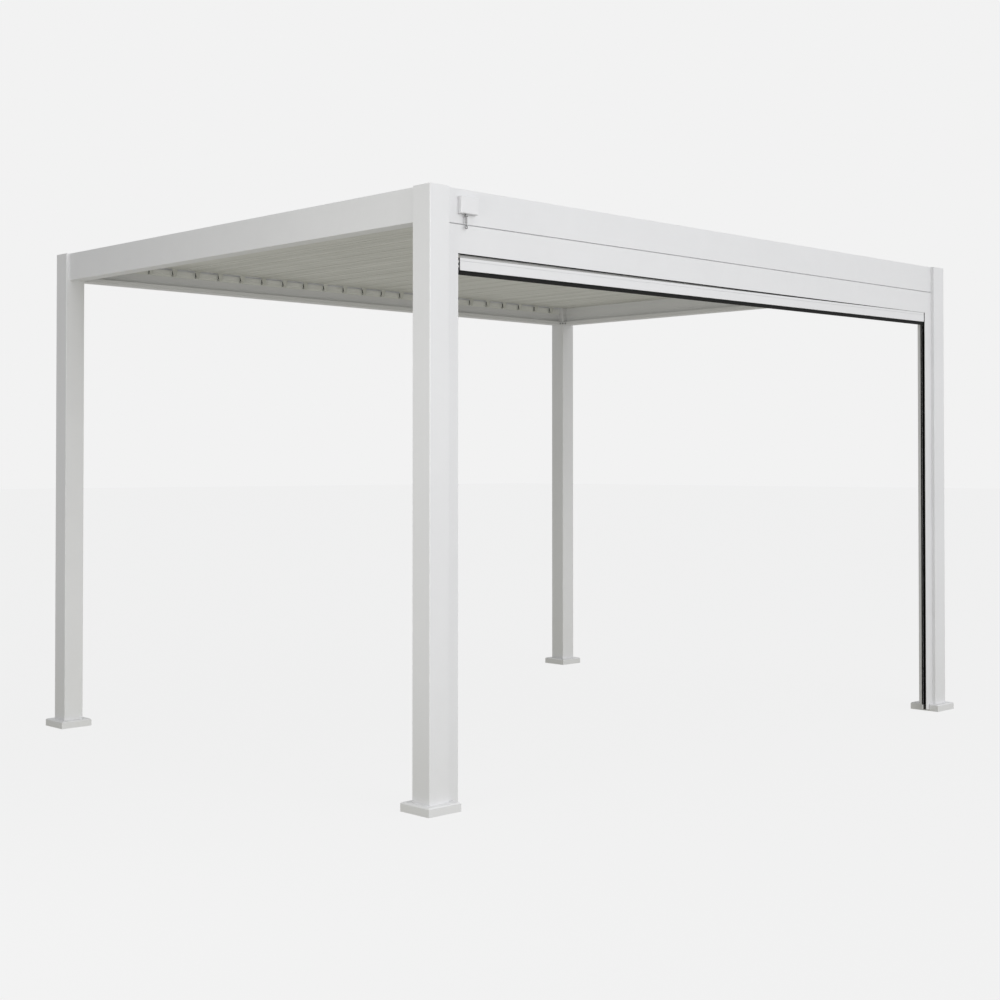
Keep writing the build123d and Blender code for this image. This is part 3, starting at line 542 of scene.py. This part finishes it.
def metal_finish(name, light, dark, gloss, stretch, spangles):
    """Bare or plated metal with die lines and with spangles of a given scale."""
    material, tree, shader, place = start_material(name, Metallic=1.0)
    line_node = use_group(tree, lines, place, Stretch=stretch)
    cells = tree.nodes.new("ShaderNodeTexVoronoi")
    cells.inputs["Scale"].default_value = spangles
    tree.links.new(place, cells.inputs["Vector"])
    grey = tree.nodes.new("ShaderNodeSeparateColor")
    tree.links.new(cells.outputs["Color"], grey.inputs[0])
    line = line_node.outputs["Line"]
    tone = sum_of(tree, grey.outputs[0], SPANGLE_CONTRAST, line, -SPANGLE_CONTRAST / 2)
    rough = sum_of(tree, grey.outputs[1], SPANGLE_ROUGHNESS, gloss)
    tree.links.new(mix_colour(tree, tone, dark, light), shader.inputs["Base Color"])
    tree.links.new(rough, shader.inputs["Roughness"])
    add_bump(tree, shader, line, METAL_DEPTH, 0.4)
    return material


zinc = metal_finish(
    "zinc_plate", light=(0.72, 0.72, 0.72, 1), dark=(0.46, 0.47, 0.48, 1), gloss=0.34,
    stretch=even_grain, spangles=ZINC_SPANGLES)
steel = metal_finish(
    "bright_steel", light=(0.62, 0.62, 0.62, 1), dark=(0.38, 0.38, 0.39, 1), gloss=0.24,
    stretch=along_z, spangles=STEEL_SPANGLES)
dark_steel = metal_finish(
    "dark_steel", light=(0.36, 0.36, 0.36, 1), dark=(0.20, 0.20, 0.21, 1), gloss=0.30,
    stretch=along_z, spangles=STEEL_SPANGLES)
mill = metal_finish(
    "mill_aluminium", light=(0.78, 0.79, 0.80, 1), dark=(0.58, 0.59, 0.60, 1), gloss=0.38,
    stretch=along_x, spangles=MILL_SPANGLES)
for name, node in nodes.items():
    if name.startswith("foot_plate"):
        paint(node, zinc)
paint(nodes["link_bar"], mill)
print("metals", zinc.name, steel.name, dark_steel.name, mill.name)

# %% [markdown]
# Rubber and plastic are matt, with a fine grain. Black rubber lines the guides and seals the bottom bar,
# and the same black makes the painted shadow under the housing's slot. The moulded bearing rails are
# white plastic, and the bar's end plugs and the pivot bushes are dark; the same dark makes the painted
# shade in the rail's slits. They need no die lines, so they get a function of their own, with grain for
# the height and slow clouds for the tone.

# %% Make the rubber and the plastics
CLOUDS = 30.0
GRAIN_ROUGHENS = 0.2
BLACK = (0.010, 0.010, 0.010, 1.0)
DEEP_BLACK = (0.004, 0.004, 0.004, 1.0)


def moulded_finish(name, light, dark, gloss, grain, depth):
    """Moulded rubber or plastic: grain in the height, slow clouds in the tone."""
    material, tree, shader, place = start_material(name, Specular_IOR_Level=0.25)
    grains = noise(tree, place, grain, 3.0, 0.6)
    clouds = noise(tree, place, CLOUDS, 3.0)
    rough = sum_of(tree, grains, GRAIN_ROUGHENS, gloss)
    tree.links.new(mix_colour(tree, clouds, dark, light), shader.inputs["Base Color"])
    tree.links.new(rough, shader.inputs["Roughness"])
    add_bump(tree, shader, grains, depth, 0.5)
    return material


rubber_and_shade = moulded_finish(
    "black_rubber", light=BLACK, dark=DEEP_BLACK, gloss=0.66, grain=1500.0, depth=0.05 * MM)
bearing_white = moulded_finish(
    "bearing_plastic", light=(0.86, 0.86, 0.84, 1), dark=(0.77, 0.77, 0.74, 1), gloss=0.45,
    grain=900.0, depth=0.04 * MM)
dark_plastic = moulded_finish(
    "dark_plastic", light=(0.050, 0.050, 0.052, 1), dark=(0.030, 0.030, 0.032, 1), gloss=0.5,
    grain=1100.0, depth=0.05 * MM)
for name in ("guide_inserts", "screen_seal"):
    paint(nodes[name], rubber_and_shade)
paint(nodes["bar_end_plugs"], dark_plastic)
paint(nodes["pivot_rails"], bearing_white)
print("mouldings", rubber_and_shade.name, bearing_white.name, dark_plastic.name)

# %% [markdown]
# The feet of the screen guides are white mouldings, and the black lining of the slot runs down over
# them. The lining could be a piece of its own, but it is a thin skin there. So one mask over the depth of
# the guide, taken from the place of the lining above, paints both colours.

# %% Paint the feet of the guides
FOOT_CLOUDS = 60.0
FOOT_GRAIN = 1100.0
lining_low, lining_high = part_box("guide_inserts")
guide_foot, tree, shader, place = start_material("guide_foot", Roughness=0.5)
depth = tree.nodes.new("ShaderNodeSeparateXYZ")
tree.links.new(place, depth.inputs[0])
behind_edge = math_node(tree, "GREATER_THAN", depth.outputs["Y"], lining_low.y)
before_edge = math_node(tree, "LESS_THAN", depth.outputs["Y"], lining_high.y)
in_slot = math_node(tree, "MULTIPLY", behind_edge, before_edge)
foot_white = mix_colour(tree, noise(tree, place, FOOT_CLOUDS, 3.0), SHADE, WHITE)
tree.links.new(mix_colour(tree, in_slot, foot_white, BLACK), shader.inputs["Base Color"])
add_bump(tree, shader, noise(tree, place, FOOT_GRAIN, 3.0), 0.05 * MM, 0.4)
paint(nodes["guide_end_plugs"], guide_foot)
print("slot lining from", round(lining_low.y, 4), "to", round(lining_high.y, 4))

# %% [markdown]
# The screen is woven from coated yarn, with small holes between warp and weft. Modelled threads would be
# far too many, so two crossed waves give the threads their height and tone, and paint the holes dark as
# the shade that shows through them. The same cloth is on the roll above and on the short stretch that
# shows.

# %% Make the screen cloth
THREADS_PER_M = 900.0
THREAD_WANDER = 0.4
SHEEN = 0.15
HOLE_SHADE = (0.30, 0.30, 0.30, 1.0)
YARN_LIGHT = (0.58, 0.58, 0.57, 1.0)
SOIL = (0.44, 0.43, 0.40, 1.0)
SOIL_SCALE = 6.0
SOIL_SHARE = 0.2
HOLE_ROUGHNESS = 0.85
YARN_SMOOTHS = 0.2
YARN_DEPTH = 0.2 * MM
cloth, tree, shader, place = start_material("screen_cloth", Sheen_Weight=SHEEN)
threads = []
for axis in ("X", "Z"):
    wave = tree.nodes.new("ShaderNodeTexWave")
    wave.bands_direction = axis
    wave.inputs["Scale"].default_value = THREADS_PER_M / (2 * pi)
    wave.inputs["Distortion"].default_value = THREAD_WANDER
    tree.links.new(place, wave.inputs["Vector"])
    threads.append(wave.outputs["Fac"])
weave = math_node(tree, "MAXIMUM", *threads)
# Between the threads the weave is painted shade.
yarn = mix_colour(tree, weave, HOLE_SHADE, YARN_LIGHT)
soil = math_node(tree, "MULTIPLY", noise(tree, place, SOIL_SCALE, 4.0), SOIL_SHARE)
tree.links.new(mix_colour(tree, soil, yarn, SOIL), shader.inputs["Base Color"])
tree.links.new(sum_of(tree, weave, -YARN_SMOOTHS, HOLE_ROUGHNESS), shader.inputs["Roughness"])
add_bump(tree, shader, weave, YARN_DEPTH, 0.6)
paint(nodes["screen_roll"], cloth)
print("cloth", THREADS_PER_M, "threads a metre")

# %% [markdown]
# The stretch of screen between the roll and the bottom bar is one flat woven sheet, pulled tight by the
# bar. It could be a bare plane, but a cut sheet has a thickness and an edge, so a grid is sized to the
# stretch, its lower edge is laid to the tilt of the bar, and it is thickened.

# %% Hang the screen
CLOTH_T = 0.6 * MM
GRID_ACROSS = 48
GRID_DOWN = 6


def deselect_all():
    """Leaves edit mode and selects nothing."""
    if bpy.context.object and bpy.context.object.mode != "OBJECT":
        bpy.ops.object.mode_set(mode="OBJECT")
    bpy.ops.object.select_all(action="DESELECT")


def make_active(piece):
    """Selects one piece alone."""
    deselect_all()
    piece.select_set(True)
    bpy.context.view_layer.objects.active = piece


def settle(piece):
    """Puts a piece's place, turn and size into its mesh."""
    make_active(piece)
    bpy.ops.object.transform_apply(location=True, rotation=True, scale=True)


def apply_modifier(piece, kind, **settings):
    """Adds one modifier with its settings and applies it."""
    make_active(piece)
    modifier = piece.modifiers.new(kind.lower(), kind)
    for label, value in settings.items():
        setattr(modifier, label, value)
    bpy.ops.object.modifier_apply(modifier=modifier.name)


screen_low, screen_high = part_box("screen_fabric")
corners = [v.co for v in nodes["screen_fabric"].data.vertices]
lowest = {side: min(c.z for c in corners if c.x * side > 0) for side in (-1, 1)}
screen_w = screen_high.x - screen_low.x
screen_h = screen_high.z - (lowest[-1] + lowest[1]) / 2
middle_x = (screen_low.x + screen_high.x) / 2
middle_y = (screen_low.y + screen_high.y) / 2
deselect_all()
bpy.ops.mesh.primitive_grid_add(x_subdivisions=GRID_ACROSS, y_subdivisions=GRID_DOWN, size=1.0)
screen = bpy.context.object
screen.name = "screen_cloth_sheet"
screen.scale = (screen_w, screen_h, 1.0)
screen.rotation_euler = (pi / 2, 0.0, 0.0)
screen.location = (middle_x, middle_y, screen_high.z - screen_h / 2)
settle(screen)
for vertex in screen.data.vertices:
    share = (vertex.co.x - screen_low.x) / screen_w
    low_here = lowest[-1] + (lowest[1] - lowest[-1]) * share
    down = (screen_high.z - vertex.co.z) / screen_h
    vertex.co.z = screen_high.z - down * (screen_high.z - low_here)
apply_modifier(screen, "SOLIDIFY", thickness=CLOTH_T, offset=0.0)
paint(screen, cloth)
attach(screen, "frame")
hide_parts("screen_fabric")
print("screen", round(screen_w, 3), "by", round(screen_h, 4))

# %% [markdown]
# Pan head screws hold the corner brackets and the blades' end plates. A cylinder is a poor screw: the
# head is crowned and has a recess for the driver. One head is modelled from a cylinder with inset and
# extruded faces, in a larger and a smaller size, and every screw on the pergola is a copy of one of them.

# %% Model the screw heads
HEAD_SIDES = 18
SQUARE_ON = 0.9
CROWN_INSET = 0.22
CROWN_RISE = 0.14
RIM_INSET = 0.34
RIM_RISE = 0.04
RECESS = 0.6


def select_faces(piece, wanted):
    """Enters edit mode with the faces selected for which wanted(face) holds."""
    make_active(piece)
    bpy.ops.object.mode_set(mode="EDIT")
    bpy.ops.mesh.select_mode(type="FACE")
    bpy.ops.mesh.select_all(action="DESELECT")
    bpy.ops.object.mode_set(mode="OBJECT")
    for face in piece.data.polygons:
        face.select = bool(wanted(face))
    bpy.ops.object.mode_set(mode="EDIT")


def screw_head(name, radius, height):
    """A crowned head with a driver recess, standing on the XY plane at the origin."""
    deselect_all()
    bpy.ops.mesh.primitive_cylinder_add(
        vertices=HEAD_SIDES, radius=radius, depth=height, location=(0, 0, height / 2))
    head = bpy.context.object
    head.name = name
    settle(head)
    select_faces(head, lambda face: face.normal.z > SQUARE_ON)
    bpy.ops.mesh.inset(thickness=CROWN_INSET * radius, depth=CROWN_RISE * radius)
    bpy.ops.mesh.inset(thickness=RIM_INSET * radius, depth=RIM_RISE * radius)
    bpy.ops.mesh.extrude_region_move(TRANSFORM_OT_translate={"value": (0, 0, -RECESS * height)})
    bpy.ops.object.mode_set(mode="OBJECT")
    bpy.ops.object.shade_smooth_by_angle(angle=radians(35))
    return head


def join(pieces):
    """Joins pieces into the first of them."""
    deselect_all()
    for piece in pieces:
        piece.select_set(True)
    bpy.context.view_layer.objects.active = pieces[0]
    if len(pieces) > 1:
        bpy.ops.object.join()
    return pieces[0]


def copies_of(pattern, name, places):
    """Joins one copy of the pattern for each placing matrix into one piece."""
    made = []
    for place in places:
        copy = bpy.data.objects.new(name, pattern.data.copy())
        copy.data.transform(place)
        bpy.context.scene.collection.objects.link(copy)
        made.append(copy)
    joined = join(made)
    joined.name = name
    return joined


def facing(direction, place):
    """Matrix that stands a piece modelled along Z at a place, facing a direction."""
    return Matrix.Translation(place) @ Vector(direction).to_track_quat("Z", "Y").to_matrix().to_4x4()


bracket_head = screw_head("bracket_head", 4.2 * MM, 2.6 * MM)
small_head = screw_head("small_head", 3.0 * MM, 1.6 * MM)
print("heads", len(bracket_head.data.polygons), "faces each")

# %% [markdown]
# Each corner has two angle brackets, one on each beam, and each bracket has one screw into the gutter
# lip and one into the post. The places could be listed, but all four corners mirror each other, so two
# loops over the sides of the frame make all sixteen. The thickness is that of the modelled brackets.

# %% Screw the corner brackets on
BRACKET_T = 3 * MM
SCREW_FROM_CORNER = 17 * MM
bracket_low, bracket_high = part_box("corner_brackets")
bracket_z = (bracket_low.z + bracket_high.z) / 2
lip_face_x = lip_x - BRACKET_T
lip_face_y = lip_y - BRACKET_T
post_face_x = post_inner_x - BRACKET_T
post_face_y = post_inner_y - BRACKET_T
places = []
for side_x in (-1, 1):
    for side_y in (-1, 1):
        along_lip = side_x * (post_inner_x - SCREW_FROM_CORNER)
        on_post = side_y * (lip_y - SCREW_FROM_CORNER)
        places.append(facing((0, -side_y, 0), (along_lip, side_y * lip_face_y, bracket_z)))
        places.append(facing((-side_x, 0, 0), (side_x * post_face_x, on_post, bracket_z)))
        along_lip = side_y * (post_inner_y - SCREW_FROM_CORNER)
        on_post = side_x * (lip_x - SCREW_FROM_CORNER)
        places.append(facing((-side_x, 0, 0), (side_x * lip_face_x, along_lip, bracket_z)))
        places.append(facing((0, -side_y, 0), (on_post, side_y * post_face_y, bracket_z)))
bracket_screws = copies_of(bracket_head, "bracket_screws", places)
paint(bracket_screws, dark_steel)
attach(bracket_screws, "frame")
print("bracket screws", len(places))

# %% [markdown]
# Each blade ends in a plate with two screws into the blade's ports, and on the drive side a push-on cap
# keeps the link bar on its pin, which is the small head again, half as large again. All screws could be
# one piece, but these turn with the blade, so every blade has its own piece with them. The gap at the end
# and the half thickness are those of the modelled blade.

# %% Screw the end plates to the blades
PORT_SPACING = 84 * MM
END_GAP = 5 * MM
HALF_BLADE_T = 11 * MM
LINK_CAP_SIZE = 1.5
bar_face_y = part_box("link_bar")[0].y
arm = pivots["link_bar"] - pivots[blades[0]]
end_y = lip_y - END_GAP
for blade in blades:
    pivot = pivots[blade]
    middle_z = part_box(blade)[1].z - HALF_BLADE_T
    places = []
    for side_y in (-1, 1):
        for step in (-0.5, 0.5):
            place = (pivot.x + step * PORT_SPACING, side_y * end_y, middle_z)
            places.append(facing((0, side_y, 0), place))
    cap_place = (pivot.x + arm.x, bar_face_y, pivot.z + arm.z)
    places.append(facing((0, -1, 0), cap_place) @ Matrix.Scale(LINK_CAP_SIZE, 4))
    fixings = copies_of(small_head, blade.replace("louver", "blade_screws"), places)
    paint(fixings, steel)
    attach(fixings, blade)
print("blade screws on", len(blades), "blades")

# %% [markdown]
# Every pivot pin runs in a dark bush pressed into the white bearing rail. Above each bush a dark tongue
# fills the slit between two cover strips: it is painted shade, a dark piece where the slit's shadow
# falls. From below they show as a row of short dark ticks.
# Painted ticks would stay flat, so both are modelled: the bush is a cylinder without caps, given a wall
# by Solidify, and the tongue is a cube drawn in towards its tip. They stand on the face of the rail's
# bosses, whose depth is the model's own.

# %% Press the pivot bushes in and fill the slits with painted shade
BUSH_SIDES = 20
BUSH_OUTER = 5.4 * MM
BUSH_INNER = 4.5 * MM
BUSH_STANDS = 2.2 * MM
TONGUE_W = 8 * MM
TONGUE_TIP = 0.7
TONGUE_LOW = 5.5 * MM
TONGUE_HIGH = 25.5 * MM
TONGUE_BACK = -6 * MM
TONGUE_FACE = 2.2 * MM
TONGUE_EDGE = 0.7 * MM
RAIL_AND_BOSS = 8 * MM


def round_edges(piece, width, sharper_than):
    """Bevels the edges that turn by more than an angle in degrees."""
    apply_modifier(
        piece, "BEVEL", width=width, segments=2, limit_method="ANGLE", angle_limit=radians(sharper_than))


deselect_all()
bpy.ops.mesh.primitive_cylinder_add(
    vertices=BUSH_SIDES, radius=BUSH_OUTER, depth=BUSH_STANDS, end_fill_type="NOTHING",
    location=(0, 0, BUSH_STANDS / 2))
bush = bpy.context.object
settle(bush)
apply_modifier(bush, "SOLIDIFY", thickness=BUSH_OUTER - BUSH_INNER, offset=-1.0)
deselect_all()
tongue_middle = (0, (TONGUE_LOW + TONGUE_HIGH) / 2, (TONGUE_BACK + TONGUE_FACE) / 2)
bpy.ops.mesh.primitive_cube_add(size=1.0, location=tongue_middle)
slit_shade_tongue = bpy.context.object
slit_shade_tongue.scale = (TONGUE_W, TONGUE_HIGH - TONGUE_LOW, TONGUE_FACE - TONGUE_BACK)
settle(slit_shade_tongue)
select_faces(slit_shade_tongue, lambda face: face.normal.y > SQUARE_ON)
bpy.ops.transform.resize(value=(TONGUE_TIP, 1.0, 1.0), center_override=(0, TONGUE_HIGH, 0))
bpy.ops.object.mode_set(mode="OBJECT")
round_edges(slit_shade_tongue, TONGUE_EDGE, 50)
bush = join([bush, slit_shade_tongue])
rail_back_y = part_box("pivot_rails")[1].y
places = []
for blade in blades:
    for side_y in (-1, 1):
        face_y = side_y * (rail_back_y - RAIL_AND_BOSS)
        places.append(facing((0, -side_y, 0), (pivots[blade].x, face_y, pivots[blade].z)))
bushes = copies_of(bush, "pivot_bushes_and_slit_shade", places)
# The tongues in this piece are painted shade in the rail's slits.
paint(bushes, dark_plastic)
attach(bushes, "frame")
print("bushes", len(places))

# %% [markdown]
# The crank hooks into a forged eye under the gearbox, a round shaft with a collar and a ring of round
# wire. The ring is a torus. The shaft could be a stack of cylinders, but one skin without hidden faces is
# better, so it is a circle, extruded and scaled in steps up from the ring.

# %% Forge the crank eye
EYE_WIRE = 2.2 * MM
NECK_R = 2.6 * MM
NECK_WIDENS = 0.2 * MM
SHAFT_R = 3.9 * MM
COLLAR_R = 6.8 * MM
COLLAR_H = 10.5 * MM
COLLAR_EDGE = 0.8 * MM
EDGE_RISE = 1 * MM
COLLAR_GAP = 1.5 * MM
SHAFT_IN_GEAR = 12 * MM
eye_low, eye_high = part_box("crank_eye")
eye_x = (eye_low.x + eye_high.x) / 2
eye_y = (eye_low.y + eye_high.y) / 2
eye_outer = (eye_high.x - eye_low.x) / 2
gear_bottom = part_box("gearbox")[0].z
ring_z = eye_low.z + eye_outer
ring_top = ring_z + eye_outer
collar_top = gear_bottom - COLLAR_GAP
collar_low = collar_top - COLLAR_H
deselect_all()
bpy.ops.mesh.primitive_torus_add(
    major_radius=eye_outer - EYE_WIRE, minor_radius=EYE_WIRE, major_segments=36, minor_segments=14,
    location=(eye_x, eye_y, ring_z), rotation=(pi / 2, 0.0, 0.0))
ring = bpy.context.object
settle(ring)
bpy.ops.object.shade_smooth()
steps = [
    (ring_top - EYE_WIRE, NECK_R),
    (ring_top + 3 * MM, NECK_R + NECK_WIDENS),
    (ring_top + 9 * MM, SHAFT_R),
    (collar_low - EDGE_RISE, SHAFT_R),
    (collar_low, COLLAR_R - COLLAR_EDGE),
    (collar_low + EDGE_RISE, COLLAR_R),
    (collar_top - EDGE_RISE, COLLAR_R),
    (collar_top, COLLAR_R - COLLAR_EDGE),
    (collar_top + 0.1 * MM, SHAFT_R),
    (gear_bottom + SHAFT_IN_GEAR, SHAFT_R),
]
deselect_all()
bpy.ops.mesh.primitive_circle_add(
    vertices=28, radius=NECK_R, fill_type="NGON", location=(eye_x, eye_y, ring_top - EYE_WIRE))
shaft = bpy.context.object
settle(shaft)
bpy.ops.object.mode_set(mode="EDIT")
bpy.ops.mesh.select_all(action="SELECT")
for (z_from, r_from), (z_to, r_to) in zip(steps, steps[1:]):
    bpy.ops.mesh.extrude_region_move(TRANSFORM_OT_translate={"value": (0, 0, z_to - z_from)})
    ratio = r_to / r_from
    bpy.ops.transform.resize(value=(ratio, ratio, 1.0), center_override=(eye_x, eye_y, z_to))
bpy.ops.mesh.select_all(action="SELECT")
bpy.ops.mesh.normals_make_consistent(inside=False)
bpy.ops.object.mode_set(mode="OBJECT")
bpy.ops.object.shade_smooth_by_angle(angle=radians(40))
shaft = join([shaft, ring])
shaft.name = "crank_eye_forged"
paint(shaft, dark_steel)
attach(shaft, "crank_eye")
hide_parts("crank_eye")
print("crank eye", len(shaft.data.polygons), "faces")

# %% [markdown]
# Black trims finish the screen. A lip hangs from the front edge of the housing: it is a painted shadow,
# a black rubber strip put where the housing's slot throws its shade. A black strip lies beside the slot
# of each guide and widens the slot's dark band. They could be extruded along curves, but all three are
# straight, so one function stretches a cube, draws its free edge in and rounds it.

# %% Add the black trims and the painted slot shadow
LIP_H = 4.5 * MM
LIP_T = 2.4 * MM
LIP_BACK = 1.2 * MM
STRIP_W = 9.5 * MM
STRIP_T = 1.4 * MM
EDGE_TAPER = 0.5
RUBBER_EDGE = 0.3 * MM
X_AXIS = 0
Z_AXIS = 2


def dark_trim_strip(name, low, high, edge_axis, edge_side):
    """A strip between two corners, whose long face on one side of an axis is drawn in along Y."""
    deselect_all()
    middle = [(a + b) / 2 for a, b in zip(low, high)]
    bpy.ops.mesh.primitive_cube_add(size=1.0, location=middle)
    strip = bpy.context.object
    strip.name = name
    strip.scale = [b - a for a, b in zip(low, high)]
    settle(strip)
    select_faces(strip, lambda face: face.normal[edge_axis] * edge_side > SQUARE_ON)
    bpy.ops.transform.resize(value=(1.0, EDGE_TAPER, 1.0), center_override=middle)
    bpy.ops.object.mode_set(mode="OBJECT")
    round_edges(strip, RUBBER_EDGE, 40)
    paint(strip, rubber_and_shade)
    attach(strip, "frame")


housing_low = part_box("screen_cassette")[0]
left_guide_low, left_guide_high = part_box("screen_guide_left")
right_guide_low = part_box("screen_guide_right")[0]
bottom_bar_low, bottom_bar_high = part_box("screen_bottom_bar")
lip_front = housing_low.y + LIP_BACK
# The lip is painted shadow: black where the housing's slot throws its shade.
dark_trim_strip(
    "housing_slot_shadow_lip", (bottom_bar_low.x, lip_front, housing_low.z - LIP_H),
    (bottom_bar_high.x, lip_front + LIP_T, housing_low.z), Z_AXIS, -1)
# Beside each guide's slot a black strip widens the slot's dark band.
for name, face_x, inward in (
    ("guide_dark_strip_left", left_guide_high.x, 1), ("guide_dark_strip_right", right_guide_low.x, -1)):
    reach = sorted((face_x, face_x + inward * STRIP_T))
    dark_trim_strip(
        name, (reach[0], lining_high.y, left_guide_low.z),
        (reach[1], lining_high.y + STRIP_W, housing_low.z), X_AXIS, inward)
print("lip", round(bottom_bar_high.x - bottom_bar_low.x, 3), "m long")

# %% [markdown]
# At each end of the bottom bar two round white glides sit on the dark plug and keep the bar from rubbing
# on its guide. A plain disc would have no groove and no soft rim, so a cylinder is inset and pushed in on
# its outer face, and its rim is bevelled.

# %% Fit the glides of the bottom bar
GLIDE_SHARE = 0.19
GLIDE_HEIGHTS = (0.27, 0.73)
GLIDE_PROUD = 0.5 * MM
GLIDE_BACK = 0.6 * MM
GROOVE_FROM = 0.3
GROOVE_WALL = 0.25
GROOVE_DEPTH = 0.15
GLIDE_EDGE = 0.08
plug_points = [vertex.co for vertex in nodes["bar_end_plugs"].data.vertices]
left_points = [p for p in plug_points if p.x < 0]
plug_width = max(p.x for p in left_points) - min(p.x for p in left_points)
plug_height = max(p.z for p in left_points) - min(p.z for p in left_points)
glide_r = GLIDE_SHARE * plug_height
glide_t = plug_width + 2 * GLIDE_PROUD
deselect_all()
bpy.ops.mesh.primitive_cylinder_add(vertices=24, radius=glide_r, depth=glide_t, location=(0, 0, 0))
glide = bpy.context.object
settle(glide)
select_faces(glide, lambda face: face.normal.z > SQUARE_ON)
bpy.ops.mesh.inset(thickness=GROOVE_FROM * glide_r)
bpy.ops.mesh.inset(thickness=GROOVE_WALL * glide_r, depth=-GROOVE_DEPTH * glide_t)
bpy.ops.object.mode_set(mode="OBJECT")
round_edges(glide, GLIDE_EDGE * glide_r, 50)
places = []
for side_x in (-1, 1):
    points = [p for p in plug_points if p.x * side_x > 0]
    middle_x = (min(p.x for p in points) + max(p.x for p in points)) / 2
    bottom = min(p.z for p in points)
    height = max(p.z for p in points) - bottom
    middle_y = min(p.y for p in points) + GLIDE_BACK + glide_r
    for share in GLIDE_HEIGHTS:
        places.append(facing((side_x, 0, 0), (middle_x, middle_y, bottom + share * height)))
glides = copies_of(glide, "bar_end_glides", places)
bpy.ops.object.shade_smooth_by_angle(angle=radians(35))
paint(glides, bearing_white)
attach(glides, "frame")
print("glides", len(places), "radius", round(glide_r / MM, 1), "mm")

# %% [markdown]
# The screw heads, the bush and the glide at the origin were patterns for the copies. They could be
# hidden, but a hidden object still belongs to the file, so they are removed.

# %% Clear the patterns away
patterns = (bracket_head, small_head, bush, glide)
for pattern in patterns:
    bpy.data.objects.remove(pattern)
print("patterns removed", len(patterns))
